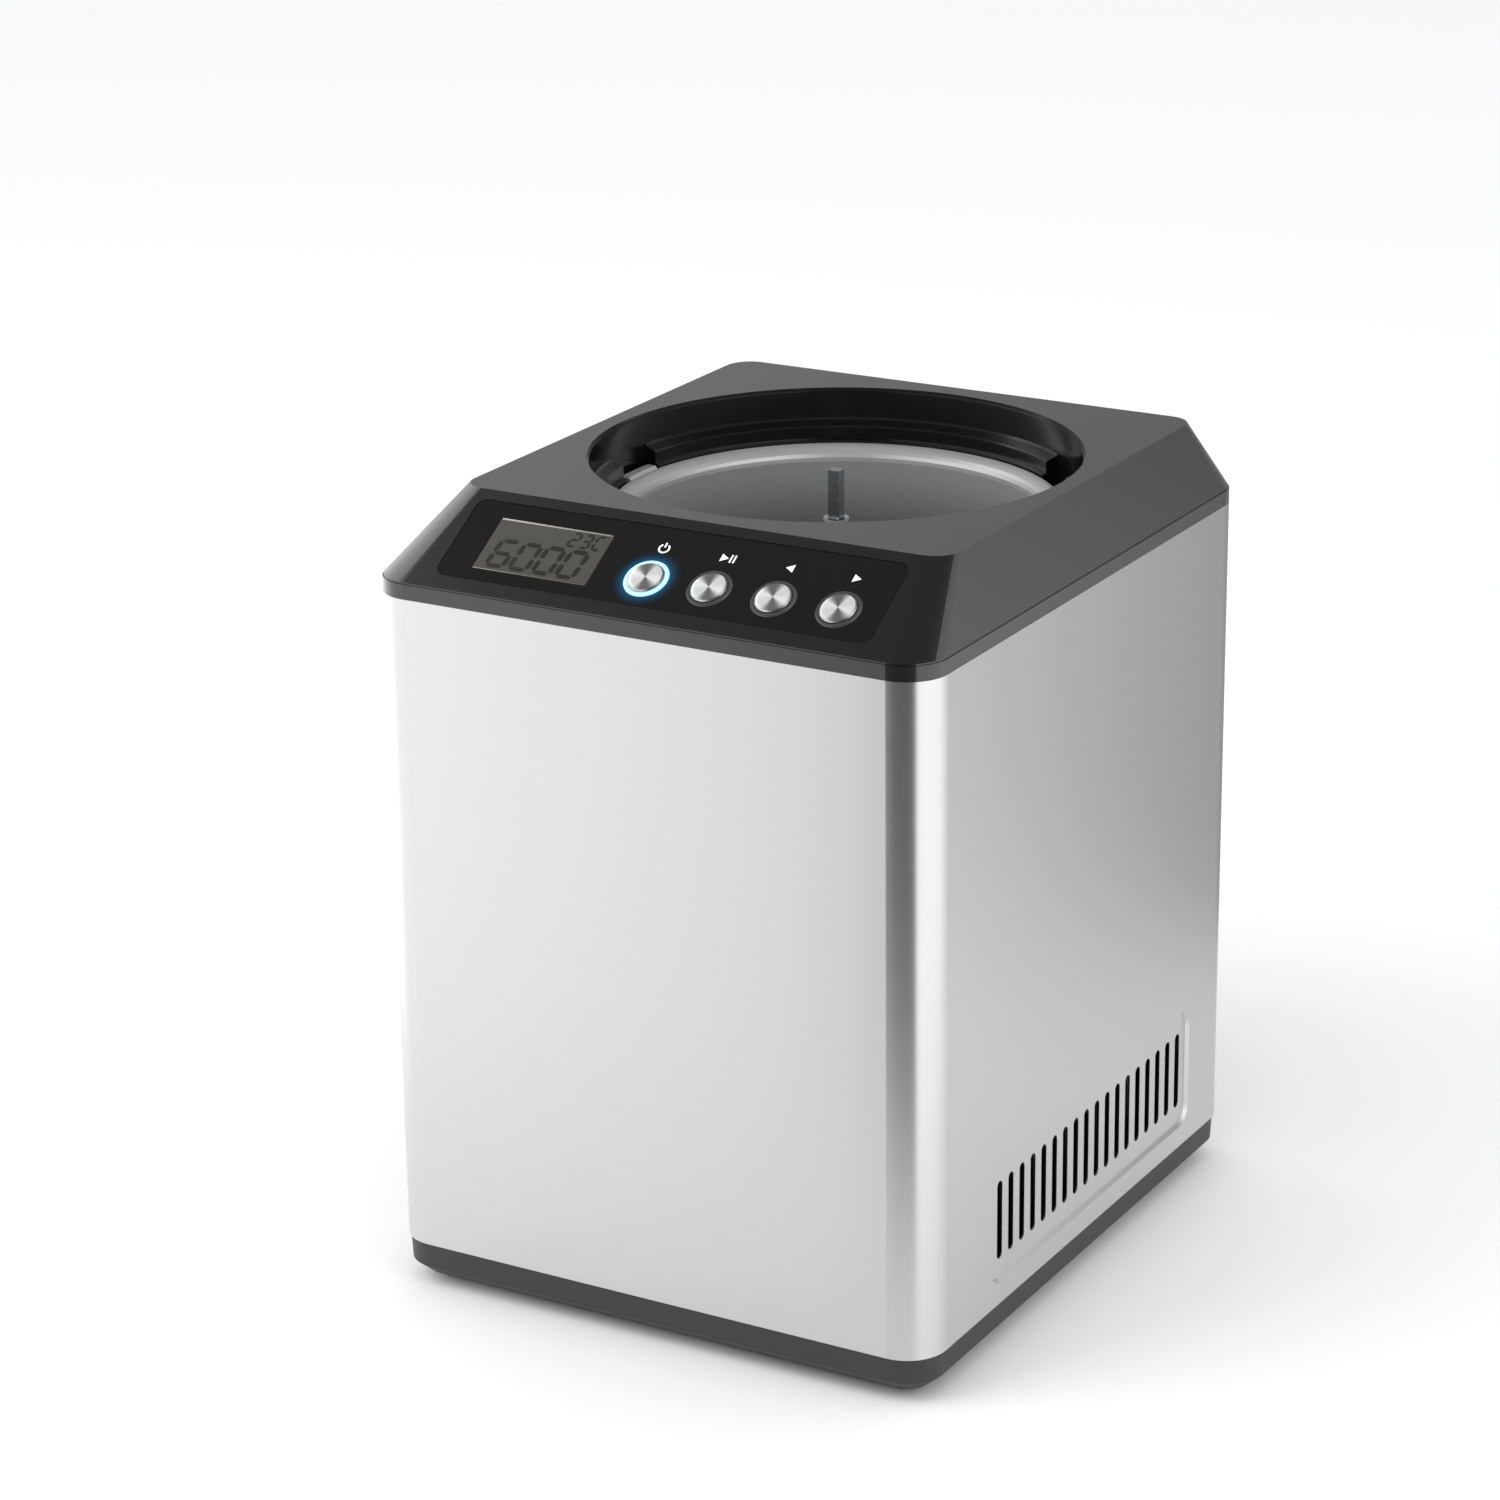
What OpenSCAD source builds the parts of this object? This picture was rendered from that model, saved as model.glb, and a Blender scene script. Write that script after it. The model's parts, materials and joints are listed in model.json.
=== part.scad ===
// Compressor-cooled frozen-dessert and yogurt maker, lid off.
// Frame: millimetres, +Z up, origin on the table under the middle of the body, front towards -Y.

/* [Body] */
// Width of the steel body
body_w = 275; // [265:1:290]
// Depth of the steel body
body_d = 315; // [305:1:330]
// Height of the steel wrap
steel_h = 308; // [300:1:330]
// Radius of the body's upright corners
corner_r = 19; // [12:1:20]
// Thickness of the steel sheet
sheet_t = 0.8; // [0.6:0.1:1.2]
// Height of the black base below the steel
base_h = 18; // [16:1:22]
// Height of the rubber feet under the base
foot_h = 4; // [3:0.5:6]

/* [Top cover] */
// Height of the upright band at the cover's rim
band_h = 7.6; // [6:0.2:9]
// Height of the sloping part above the band
slope_h = 30.8; // [28:0.2:33]
// How far the side and rear slopes run inwards
side_run = 16.8; // [14:0.2:18]
// How far the front slope, with the controls, runs inwards
front_run = 51; // [48:0.5:52]
// Radius of the round opening
opening_r = 112; // [108:0.5:112]

/* [Controls] */
// Width of the glossy control overlay
overlay_w = 213; // [208:1:216]
// Height of the overlay along the slope
overlay_d = 45; // [43:0.5:46]
// Radius of a push button
button_r = 8.2; // [7.5:0.1:8.3]
// Distance between neighbouring buttons
button_pitch = 31; // [29:0.5:31.5]
// How far a button travels
button_travel = 1; // [0.6:0.1:1]

/* [Vents] */
// Slots in each side vent
slot_count = 18; // [12:1:18]
// Distance between neighbouring slots
slot_pitch = 10.9; // [9:0.1:10.9]
// Width of a slot
slot_w = 4.9; // [3:0.1:5]
// Height of a slot
slot_h = 37.5; // [30:0.5:40]

/* [Bowl] */
// Inner radius of the removable bowl
bowl_r = 95; // [92:0.5:95]
// Depth of the bowl below its rim
bowl_h = 120; // [110:1:122]
// Radius of the bowl's rim
rim_r = 102.4; // [101:0.1:102.4]
// Radius of the drive shaft
shaft_r = 3.75; // [3.5:0.05:3.8]

/* [Hidden] */
$fn = 64;
eps = 0.01;

// Levels, from the table up
tray_top = foot_h + base_h;
tray_floor = foot_h + 3;
steel_top = tray_top + steel_h;
band_top = steel_top + band_h;
plate_z = band_top + slope_h;
deck_z = 206;
deck_t = 3;
deck_top = deck_z + deck_t;
tub_floor = 218;
rim_z = 344;
pulley_z = 176;
pulley_h = 12;

// Body outline and the round opening's axis
inner_w = body_w - 2 * sheet_t;
inner_d = body_d - 2 * sheet_t;
front_y = -body_d / 2;
plate_front_y = front_y + front_run;
plate_back_y = body_d / 2 - side_run;
plate_w = body_w - 2 * side_run;
plate_d = plate_back_y - plate_front_y;
axis_y = (plate_front_y + plate_back_y) / 2;
plate_corner_r = 12;
rear_open_w = 236;

// Control slope: local X across, local Y up the slope, local Z outwards
rim_inset = 0.6;
slope_angle = atan2(slope_h, front_run - rim_inset);
overlay_y = 30.5;
recess_t = 1.2;
overlay_t = 1;
cover_wall = 2.6;
board_posts = [[-98, 14], [98, 14], [-98, 46], [98, 46]];
button_y = 23.6;
button_x = [for (i = [0:3]) -7.3 + i * button_pitch];
bezel_r = 10.2;
button_gap = 0.3;
board_z = -16.6;
window_w = 57.4;
window_d = 30;
window_x = -62.2;
window_y = 29.5;

// Vent pan pressed into each side
pan_depth = 1.6;
pan_y = 8.2;
pan_z = 61.2;
pan_w = 203;
pan_h = 55;
pan_r = 7;

// Drive train
motor_y = -125;
pulley_r = 42;
motor_pulley_r = 8.4;
motor_w = 54;
motor_d = 48;

// Bowl chamber
tub_r = 98.5;
tub_t = 1.5;
coil_wire_r = 3;
coil_r = tub_r + tub_t + coil_wire_r + 1.1;
coil_turns = 7;
coil_low_z = 232;
coil_pitch = 13;

// Collar that the lid locks into
collar_in_r = opening_r - 0.8;
collar_out_r = opening_r + 2.6;
collar_top = plate_z - 1.8;
ledge_r = 105;
key_angle = 179.5;
notch_angles = [key_angle, 44.5, -0.5, -135.5];
notch_width = 15.4;
seat_z = rim_z - 3.2;

// Cooling compartment
compressor_pos = [-52, 32];
compressor_r = 56;
fan_pos = [66, 8, 78];
fan_t = 25;
fan_side = 120;
condenser_x = 95;
condenser_t = 22;
condenser_h = 132;
fin_count = 24;
fin_pitch = 6.6;
fin_t = 0.8;
tie_xy = [[-1, -1], [1, -1], [-1, 1], [1, 1]];
tie_x = 120;
tie_y = 138;
foot_xy = [[-91, -128], [73, -128], [-91, 128], [73, 128]];
gland_pos = [-85, 48];
gland_bore_r = 4;

// Pipe routes: points chosen by hand, from each line's start to its end
suction_rise = [-97, 80];
capillary_rise = [-63, 114];
loom_rise = [-108, -118];
drier_pos = [45, -116, 62];
coil_end_angle = 135;
coil_top_z = coil_low_z + coil_pitch * coil_turns;
discharge_route = [[-20, -13, 60], [0, -42, 60], [40, -92, 60], [74, -100, 40], [100, -98, 22],
    [106, -90, 22], [106, -74, 22]];
liquid_route = [[106, -74, 130.5], [106, -96, 128], [100, -112, 104], [72, -116, 56], [45, -116, 44],
    [45, -116, 62]];
capillary_route = [[45, -116, 130], [45, -116, 197], [76, -60, 197], [80, 50, 197], [30, 116, 197],
    [-44, 118, 197], [-63, 114, 200], [-63, 114, 222], [-61, 106, 230.5], [-68.9, 95.4, 231.4], [-73.6, 90.7, 232]];
suction_route = [[-90.3, 72.8, 112], [-97, 80, 112], [-97, 80, 130], [-97, 80, 312], [-92, 72, 322.5],
    [-83.6, 80.7, 323], [-73.6, 90.7, 323]];
loom_route = [[-60, -136, 94], [-60, -128, 120], [-84, -118, 150], [-108, -118, 185], [-108, -118, 220],
    [-108, -118, 290], [-100, -126, 318], [-92, -131, 332]];

// ---------- shared shapes ----------

// Rounded rectangle with true arcs at its corners
module rounded_rect(w, d, r) {
    square([w - 2 * r, d], center = true);
    square([w, d - 2 * r], center = true);
    for (x = [-1, 1], y = [-1, 1])
        translate([x * (w / 2 - r), y * (d / 2 - r)]) circle(r);
}

module slab(w, d, r, h, z = 0) {
    translate([0, 0, z]) linear_extrude(h) rounded_rect(w, d, r);
}

// Places children on the control slope
module on_slope() {
    translate([0, front_y + rim_inset, band_top]) rotate([slope_angle, 0, 0]) children();
}

module ring(r_out, r_in, h, z = 0) {
    translate([0, 0, z]) difference() {
        cylinder(h = h, r = r_out);
        translate([0, 0, -1]) cylinder(h = h + 2, r = r_in);
    }
}

// Corner cutting turns a hand-laid route into a smooth one
function smooth(p, passes) = passes == 0 ? p : smooth(concat([p[0]],
    [for (i = [0:len(p) - 2], k = [0, 1])
        if ((i > 0 || k == 1) && (i < len(p) - 2 || k == 0))
            k == 0 ? p[i] * 0.75 + p[i + 1] * 0.25 : p[i] * 0.25 + p[i + 1] * 0.75],
    [p[len(p) - 1]]), passes - 1);

function unit(v) = v / norm(v);
function heading(p, i) = unit(p[min(i + 1, len(p) - 1)] - p[max(i - 1, 0)]);

// Round tube swept along a route; lean is any direction that the route never takes
module tube(p, r, sides = 8, lean = [0.31, 0.23, 0.92]) {
    rings = [for (i = [0:len(p) - 1])
        let (t = heading(p, i), u = unit(cross(t, lean)), v = cross(t, u))
            for (k = [0:sides - 1]) p[i] + r * (u * cos(360 * k / sides) + v * sin(360 * k / sides))];
    last = (len(p) - 1) * sides;
    faces = concat(
        [[for (k = [0:sides - 1]) k]],
        [[for (k = [sides - 1:-1:0]) last + k]],
        [for (i = [0:len(p) - 2], k = [0:sides - 1])
            let (a = i * sides + k, b = i * sides + (k + 1) % sides)
                each [[a, a + sides, b], [b, a + sides, b + sides]]]);
    polyhedron(rings, faces);
}

module at_ties() { for (c = tie_xy) translate([c.x * tie_x, c.y * tie_y, 0]) children(); }
module at_feet() { for (c = foot_xy) translate([c.x, c.y, 0]) children(); }
module at_compressor() { translate([compressor_pos.x, compressor_pos.y, 0]) children(); }
module at_compressor_feet() { for (x = [-42, 42], y = [-52, 52]) translate([x, y, 0]) children(); }
module on_axis() { translate([0, axis_y, 0]) children(); }
module at_motor() { translate([0, motor_y, 0]) children(); }
module in_fan() { translate(fan_pos) rotate([0, 90, 0]) children(); }

// ---------- casing ----------

module base_tray() color("#2b2b2c") difference() {
    union() {
        hull() {
            slab(body_w - 2, body_d - 2, corner_r - 1, 1, tray_top - 1);
            slab(body_w - 3, body_d - 3, corner_r - 1.5, 1, foot_h + 6);
            slab(body_w - 17, body_d - 17, corner_r - 8, 1, foot_h);
        }
        slab(inner_w - 0.6, inner_d - 0.6, corner_r - 1.1, 7, tray_top - 1);
    }
    hull() {
        slab(body_w - 17, body_d - 17, corner_r - 8, 1, tray_floor);
        slab(inner_w - 6, inner_d - 6, corner_r - 4, 40, tray_floor + 7);
    }
    at_feet() translate([0, 0, -1]) cylinder(h = 20, r = 1.8);
    at_ties() translate([0, 0, -1]) cylinder(h = 20, r = 2);
    translate([compressor_pos.x, compressor_pos.y, 0]) at_compressor_feet()
        translate([0, 0, -1]) cylinder(h = 20, r = 2.5);
    for (i = [0:8]) translate([20 + i * 8, -60, -1]) cube([4, 60, 20]);
    // The rear cover drops into this gap in the lip
    translate([-rear_open_w / 2, body_d / 2 - 3, tray_top + 0.1]) cube([rear_open_w, 4, 8]);
}

module feet() color("#141414") at_feet() difference() {
    union() {
        cylinder(h = 1, r1 = 8, r2 = 9);
        translate([0, 0, 1 - eps]) cylinder(h = foot_h - 1 + eps, r = 9);
    }
    translate([0, 0, -1]) cylinder(h = 10, r = 1.8);
    translate([0, 0, -1]) cylinder(h = 3, r = 4);
}

module foot_screws() color("silver") at_feet() {
    translate([0, 0, 2]) cylinder(h = 10, r = 1.8);
    translate([0, 0, 0.6]) cylinder(h = 1.4, r = 3.5);
}

// Shallow pan with sloping sides; depth is measured inwards from the steel's outer face
module pan_block(side, x_out, x_in, grow) {
    hull() for (x = [x_out, x_in]) let (g = 2 * (grow + x - x_in))
        translate([side * x, pan_y, pan_z]) rotate([0, side * 90, 0]) linear_extrude(0.02)
            rounded_rect(pan_h + g, pan_w + g, pan_r + g / 2, $fn = 32);
}

module vent_slots(side) {
    for (i = [0:slot_count - 1])
        translate([side * (body_w / 2 - 10), pan_y + (i - (slot_count - 1) / 2) * slot_pitch, pan_z])
            rotate([0, side * 90, 0]) linear_extrude(20) {
                square([slot_h - slot_w, slot_w], center = true);
                for (a = [-1, 1]) translate([a * (slot_h - slot_w) / 2, 0]) circle(slot_w / 2);
            }
}

module steel_wrap() color("#c8c8c8") difference() {
    union() {
        translate([0, 0, tray_top]) linear_extrude(steel_h) difference() {
            rounded_rect(body_w, body_d, corner_r);
            rounded_rect(inner_w, inner_d, corner_r - sheet_t);
            translate([-rear_open_w / 2, body_d / 2 - 8]) square([rear_open_w, 20]);
        }
        for (side = [-1, 1])
            pan_block(side, body_w / 2 - 0.4, body_w / 2 - pan_depth - sheet_t, 0.5);
    }
    for (side = [-1, 1]) {
        pan_block(side, body_w / 2 + 0.5, body_w / 2 - pan_depth, 0);
        vent_slots(side);
    }
}

module rear_cover() color("#2b2b2c") difference() {
    union() {
        translate([-rear_open_w / 2 + 0.4, body_d / 2 - 2.5, tray_top + 0.3])
            cube([rear_open_w - 0.8, 2.5, steel_h - 0.6]);
        translate([-rear_open_w / 2 - 4, body_d / 2 - sheet_t - 2.5, tray_top + 7])
            cube([rear_open_w + 8, 2, steel_h - 15]);
        translate([gland_pos.x, body_d / 2 - 16, gland_pos.y]) rotate([-90, 0, 0])
            cylinder(h = 15, r = 20);
    }
    translate([gland_pos.x, body_d / 2 - 14, gland_pos.y]) rotate([-90, 0, 0])
        cylinder(h = 20, r = 17.5);
    translate([gland_pos.x, body_d / 2 - 20, gland_pos.y]) rotate([-90, 0, 0])
        cylinder(h = 20, r = 8);
    for (row = [0:7], col = [-1, 1])
        translate([col * 46 - 34, body_d / 2 - 12, 112 + row * 11]) cube([68, 20, 4]);
    for (i = [0:11]) translate([-30 + i * 10, body_d / 2 - 12, 44]) cube([4, 20, 38]);
    at_rear_screws() {
        translate([0, 0, -20]) cylinder(h = 40, r = 1.6);
        translate([0, 0, 1]) cylinder(h = 5, r = 3.6);
    }
}

module at_rear_screws() {
    for (x = [-108, 108], z = [tray_top + 14, 170, steel_top - 14])
        translate([x, body_d / 2 - 2.5, z]) rotate([-90, 0, 0]) children();
}

module rear_screws() color("silver") at_rear_screws() {
    translate([0, 0, -6]) cylinder(h = 7.1, r = 1.6);
    translate([0, 0, 1]) cylinder(h = 1.3, r1 = 3.3, r2 = 2.6);
}

module cord_gland() color("#141414")
    translate([gland_pos.x, body_d / 2 - 20, gland_pos.y]) rotate([-90, 0, 0]) difference() {
        union() {
            cylinder(h = 17, r = 7.9);
            cylinder(h = 3.9, r = 11);
            translate([0, 0, 6.1]) cylinder(h = 3, r = 11);
        }
        translate([0, 0, -1]) cylinder(h = 30, r = gland_bore_r);
    }

// Four rods clamp the casing between the base tray and the top cover's bosses
module tie_rods() color("silver") at_ties() {
    translate([0, 0, tray_floor]) cylinder(h = deck_z - tray_floor, r = 4);
    translate([0, 0, deck_z - eps]) cylinder(h = steel_top - deck_z + 3 + eps, r = 2.5);
}

// The cover's outline: an upright rim, four slopes and a flat top
module cover_block(rim, z0, rim_z1, inset, top) {
    hull() {
        slab(body_w - 2 * rim, body_d - 2 * rim, corner_r - rim, rim_z1 - z0, z0);
        translate([0, axis_y, 0])
            slab(plate_w - 2 * inset, plate_d - 2 * inset, plate_corner_r - inset, eps, top - eps);
    }
}

module top_cover() color("#3a3a3b") difference() {
    union() {
        slab(body_w, body_d, corner_r, band_h - 0.8, steel_top);
        difference() {
            cover_block(rim_inset, steel_top + 2, band_top, 0, plate_z);
            cover_block(3.2, steel_top - 4, band_top - 1.5, 1.2, plate_z - cover_wall);
        }
        for (c = tie_xy) translate([c.x * tie_x, c.y * tie_y, steel_top - 8])
            cylinder(h = c.y < 0 ? 22 : 31, r = 6);
        on_slope() for (c = board_posts) translate([c.x, c.y, board_z + 1.6]) cylinder(h = 13.6, r = 3);
    }
    difference() {
        slab(body_w - 6, body_d - 6, corner_r - 3, band_h + 0.4, steel_top - 1);
        at_ties() cylinder(h = 400, r = 6);
        on_slope() for (c = board_posts) translate([c.x, c.y, board_z + 1.6]) cylinder(h = 13.6, r = 3);
    }
    at_ties() cylinder(h = steel_top + 4, r = 2.5);
    on_axis() translate([0, 0, steel_top]) cylinder(h = 80, r = opening_r, $fn = 128);
    on_slope() {
        translate([0, overlay_y, -recess_t])
            slab(overlay_w + 0.6, overlay_d + 0.6, 5.3, 10);
        for (x = button_x) translate([x, button_y, -20]) cylinder(h = 40, r = button_r + button_gap);
        translate([window_x, window_y, -20]) slab(window_w - 4, window_d - 4, 1, 40);
    }
}

// Collar round the opening, with a sloping locking ledge and its notches
module lid_collar() color("#1a1a1a") on_axis() difference() {
    rotate_extrude($fn = 128) polygon([
        [collar_out_r, 334], [collar_out_r, plate_z - cover_wall], [opening_r - 0.1, plate_z - cover_wall],
        [opening_r - 0.1, collar_top], [collar_in_r, collar_top], [collar_in_r, 354.2],
        [collar_in_r - 1, 353.2], [ledge_r + 0.6, 351.4], [ledge_r, 350.8], [ledge_r, 345.2],
        [rim_r + 0.9, 345.2], [rim_r + 0.9, seat_z], [tub_r + tub_t, seat_z], [tub_r + tub_t, 334]
    ]);
    for (a = notch_angles) rotate([0, 0, a - notch_width / 2])
        rotate_extrude(angle = notch_width, $fn = 128)
            translate([98, seat_z]) square([collar_in_r - 98, 20]);
}

// ---------- controls ----------

module control_overlay() color("#161616") on_slope() difference() {
    translate([0, overlay_y, -recess_t]) slab(overlay_w, overlay_d, 5, overlay_t);
    for (x = button_x) translate([x, button_y, -5]) cylinder(h = 10, r = bezel_r + 0.1);
    translate([window_x, window_y, -5]) slab(window_w + 0.4, window_d + 0.4, 1.2, 10);
}

module display_window() color("#6b6962") on_slope()
    translate([window_x, window_y, -recess_t]) slab(window_w, window_d, 1, 0.7);

module display_module() color("#4c4a45") on_slope() difference() {
    translate([window_x, window_y, -14.9]) slab(window_w + 4, 34, 1, 11.6);
    translate([window_x, window_y, -6]) slab(window_w - 2, window_d - 2, 1, 10);
}

module control_board() color("#1e5b36") on_slope() difference() {
    translate([0, 30, board_z]) slab(205, 40, 2, 1.6);
    for (c = board_posts) translate([c.x, c.y, board_z - 1]) cylinder(h = 4, r = 1.6);
}

module tact_switches() color("#202020") on_slope() for (x = button_x) translate([x, button_y, board_z + 1.6]) {
    translate([-3, -3, 0]) cube([6, 6, 3]);
    translate([0, 0, 3 - eps]) cylinder(h = 0.6, r = 1.7);
}

// Spun metal cap on a moulded plunger; its skirt stops under the cover
module button(i) color("#cfcfcf") on_slope() translate([button_x[i], button_y, 0]) {
    translate([0, 0, -6]) cylinder(h = 6.7, r = button_r);
    translate([0, 0, 0.7 - eps]) cylinder(h = 0.5, r1 = button_r, r2 = button_r - 0.6);
    translate([0, 0, -6]) cylinder(h = 1.6, r = button_r + 1.6);
    translate([0, 0, -10.2]) cylinder(h = 4.3, r = 2.4);
}

module bezel() {
    translate([0, 0, -recess_t]) difference() {
        union() {
            cylinder(h = 1.1, r = bezel_r);
            translate([0, 0, 1.1 - eps]) cylinder(h = 0.5, r1 = bezel_r, r2 = bezel_r - 0.4);
        }
        translate([0, 0, -1]) cylinder(h = 5, r = button_r + button_gap);
    }
}

module power_light_ring() color("#6fd3ff") on_slope() translate([button_x[0], button_y, 0]) bezel();

module button_bezels() color("#2e2e2e") on_slope()
    for (i = [1:3]) translate([button_x[i], button_y, 0]) bezel();

// ---------- bowl chamber ----------

module mid_deck() color("#4a4a4a") difference() {
    slab(inner_w - 4, inner_d - 8, corner_r - 3, deck_t, deck_z);
    on_axis() translate([0, 0, deck_z - 1]) cylinder(h = 10, r = 15.2);
    at_motor() translate([0, 0, deck_z - 1]) cylinder(h = 10, r = 6);
    at_ties() translate([0, 0, deck_z - 1]) cylinder(h = 10, r = 2.6);
    for (c = [suction_rise, capillary_rise, loom_rise]) translate([c.x, c.y, deck_z - 1]) cylinder(h = 10, r = 6);
}

module cooling_tub() color("#b9bbbd") on_axis() translate([0, 0, tub_floor]) difference() {
    union() {
        cylinder(h = 331 - tub_floor, r = tub_r + tub_t, $fn = 128);
        translate([0, 0, 330 - tub_floor]) cylinder(h = 1.5, r = 110, $fn = 128);
    }
    translate([0, 0, 1.5]) cylinder(h = 200, r = tub_r, $fn = 128);
    translate([0, 0, -1]) cylinder(h = 10, r = shaft_r + 1);
}

module evaporator_coil() color("#b87333") on_axis() {
    steps = 24;
    tube([for (i = [0:coil_turns * steps]) let (a = coil_end_angle + 360 * i / steps)
        [coil_r * cos(a), coil_r * sin(a), coil_low_z + coil_pitch * i / steps]], coil_wire_r, 8, [0, 0, 1]);
}

// Foam block with a pocket for the tub and a duct where the two pipes rise
module tub_insulation() color("#e9e2cf") difference() {
    translate([-128, -94, deck_top]) cube([256, 242, 330 - deck_top]);
    on_axis() {
        translate([0, 0, tub_floor - 1.5]) cylinder(h = 200, r = coil_r + coil_wire_r + 0.8, $fn = 128);
        translate([0, 0, 200]) cylinder(h = 30, r = 27);
        rotate([0, 0, 116]) rotate_extrude(angle = 38, $fn = 128) translate([100, 200]) square([22, 200]);
    }
    at_ties() translate([0, 0, 200]) cylinder(h = 200, r = 7);
}

module tub_gasket() color("#222222") on_axis() ring(109, 99.8, 2.5, 331.5);

// Removable aluminium bowl with a rolled rim, a key lug and a raised sleeve for the shaft
module bowl() color("#c6c7c8") on_axis() {
    t = 1.3;
    floor_z = rim_z - bowl_h;
    fillet = 7;
    corner = 10;
    sleeve_r = shaft_r + 0.35;
    rotate_extrude($fn = 128) polygon(concat(
            [for (a = [270:15:360]) [bowl_r - corner + corner * cos(a), floor_z + t + corner + corner * sin(a)]],
            [for (a = [180:-15:90]) [bowl_r + fillet + fillet * cos(a), rim_z - fillet + fillet * sin(a)]],
            [[rim_r - 0.5, rim_z], [rim_r, rim_z - 0.5], [rim_r, rim_z - 3], [rim_r - 1, rim_z - 3]],
            [[rim_r - 1, rim_z - t - 0.4], [bowl_r + fillet - 1, rim_z - t - 0.4], [bowl_r + t + 1.8, rim_z - 4]],
            [[bowl_r + t, rim_z - 8]],
            [for (a = [0:-15:-90]) [bowl_r - corner + (corner + t) * cos(a), floor_z + t + corner + (corner + t) * sin(a)]],
            [[10, floor_z], [10, floor_z + 2], [sleeve_r, 300], [sleeve_r, 337], [5.8, 337.6], [5.8, 336.4],
             [sleeve_r + 0.7, 335.4], [sleeve_r + 0.7, 302], [11.4, floor_z + 4], [14, floor_z + t]]
        ));
    rotate([0, 0, key_angle - 6.5]) rotate_extrude(angle = 13, $fn = 128)
        translate([rim_r - 0.6, rim_z - 2.4]) polygon([[0, 0], [5.8, 0], [5.8, 3.6], [1.6, 3.6], [0, 1.8]]);
}

// ---------- drive ----------

module drive_shaft() color("#bfc1c4") on_axis() {
    translate([0, 0, 172]) cylinder(h = 140, r = shaft_r);
    intersection() {
        translate([0, 0, 311]) cylinder(h = 49, r = shaft_r);
        translate([-2.8, -2.8, 300]) cube([5.6, 5.6, 80]);
    }
}

module shaft_seal() color("#1c1c1c") on_axis() ring(9, shaft_r + 0.05, 3, tub_floor + 1.5);

module bearing_housing() color("#3f4144") on_axis() difference() {
    union() {
        translate([0, 0, 190]) cylinder(h = 27.9, r = 15);
        translate([0, 0, deck_top]) cylinder(h = 3, r = 26);
    }
    translate([0, 0, 180]) cylinder(h = 60, r = 6);
    translate([0, 0, 180]) cylinder(h = 17, r = 11);
    translate([0, 0, 211]) cylinder(h = 17, r = 11);
}

module shaft_bearings() color("#9a9da0") on_axis() {
    ring(11, shaft_r + 0.05, 7, 190);
    ring(11, shaft_r + 0.05, 6.9, 211);
}

module pulley(r, bore, z) {
    difference() {
        union() {
            translate([0, 0, z]) cylinder(h = pulley_h, r = r);
            translate([0, 0, z]) cylinder(h = 1, r = r + 2.6);
            translate([0, 0, z + pulley_h - 1]) cylinder(h = 1, r = r + 2.6);
        }
        translate([0, 0, z - 1]) cylinder(h = pulley_h + 2, r = bore);
    }
}

module drive_pulley() color("#2f2f30") on_axis() difference() {
    pulley(pulley_r, shaft_r, pulley_z);
    for (a = [0:60:300]) rotate([0, 0, a]) translate([26, 0, 0]) cylinder(h = 300, r = 9);
}

module motor_pulley() color("#2f2f30") at_motor() pulley(motor_pulley_r, 3, pulley_z);

module belt_outline(grow) {
    hull() {
        translate([0, axis_y]) circle(pulley_r + grow, $fn = 96);
        translate([0, motor_y]) circle(motor_pulley_r + grow, $fn = 48);
    }
}

module drive_belt() color("#121212") translate([0, 0, pulley_z + 1.5])
    linear_extrude(pulley_h - 3) difference() { belt_outline(2.2); belt_outline(0.5); }

module motor_shaft() color("#bfc1c4") at_motor() translate([0, 0, 172]) cylinder(h = 110, r = 3);

module motor_rotor() color("#8b8d90") at_motor() ring(15.4, 3, 36, 226);

module motor_stator() color("#77797c") at_motor() difference() {
    slab(motor_w - 4, motor_d - 4, 3, 30, 229);
    translate([0, 0, 200]) cylinder(h = 100, r = 16.2);
}

module motor_brackets() color("#8f9194") at_motor() {
    for (z = [deck_top, 276]) difference() {
        slab(motor_w, motor_d, 4, 3, z);
        translate([0, 0, z - 1]) cylinder(h = 6, r = 3.1);
    }
    for (x = [-1, 1], y = [-1, 1]) translate([x * 22, y * 19, 0]) {
        translate([0, 0, deck_top + 3]) cylinder(h = 17, r = 2.5);
        translate([0, 0, 259]) cylinder(h = 17, r = 2.5);
    }
}

module motor_windings() color("#a35a1e") at_motor() for (z = [218.5, 259]) ring(20, 16.6, 10.5, z);

// ---------- cooling ----------

// One half of the welded shell, from its flange at flat_z to the crown at dome_z
module compressor_half(flat_z, dome_z) {
    wall = 3;
    arc = 14;
    side = dome_z > flat_z ? 1 : -1;
    bend_z = dome_z - side * arc;
    rotate_extrude($fn = 96) polygon(concat(
        [[compressor_r + 3, flat_z], [compressor_r + 3, flat_z + side * 2], [compressor_r, flat_z + side * 2]],
        [for (a = [0:10:90]) [compressor_r - arc + arc * cos(a), bend_z + side * arc * sin(a)]],
        [[0, dome_z], [0, dome_z - side * wall]],
        [for (a = [90:-10:0])
            [compressor_r - arc + (arc - wall) * cos(a), bend_z + side * (arc - wall) * sin(a)]],
        [[compressor_r - wall, flat_z]]
    ));
}

module compressor_shell_lower() color("#1b1b1c") at_compressor() compressor_half(78, 20);
module compressor_shell_upper() color("#1b1b1c") at_compressor() compressor_half(78, 142);

module compressor_core() color("#6f7276") at_compressor() {
    translate([0, 0, 23]) cylinder(h = 64, r = 40);
    translate([0, 0, 87 - eps]) cylinder(h = 30, r = 24);
}

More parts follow.
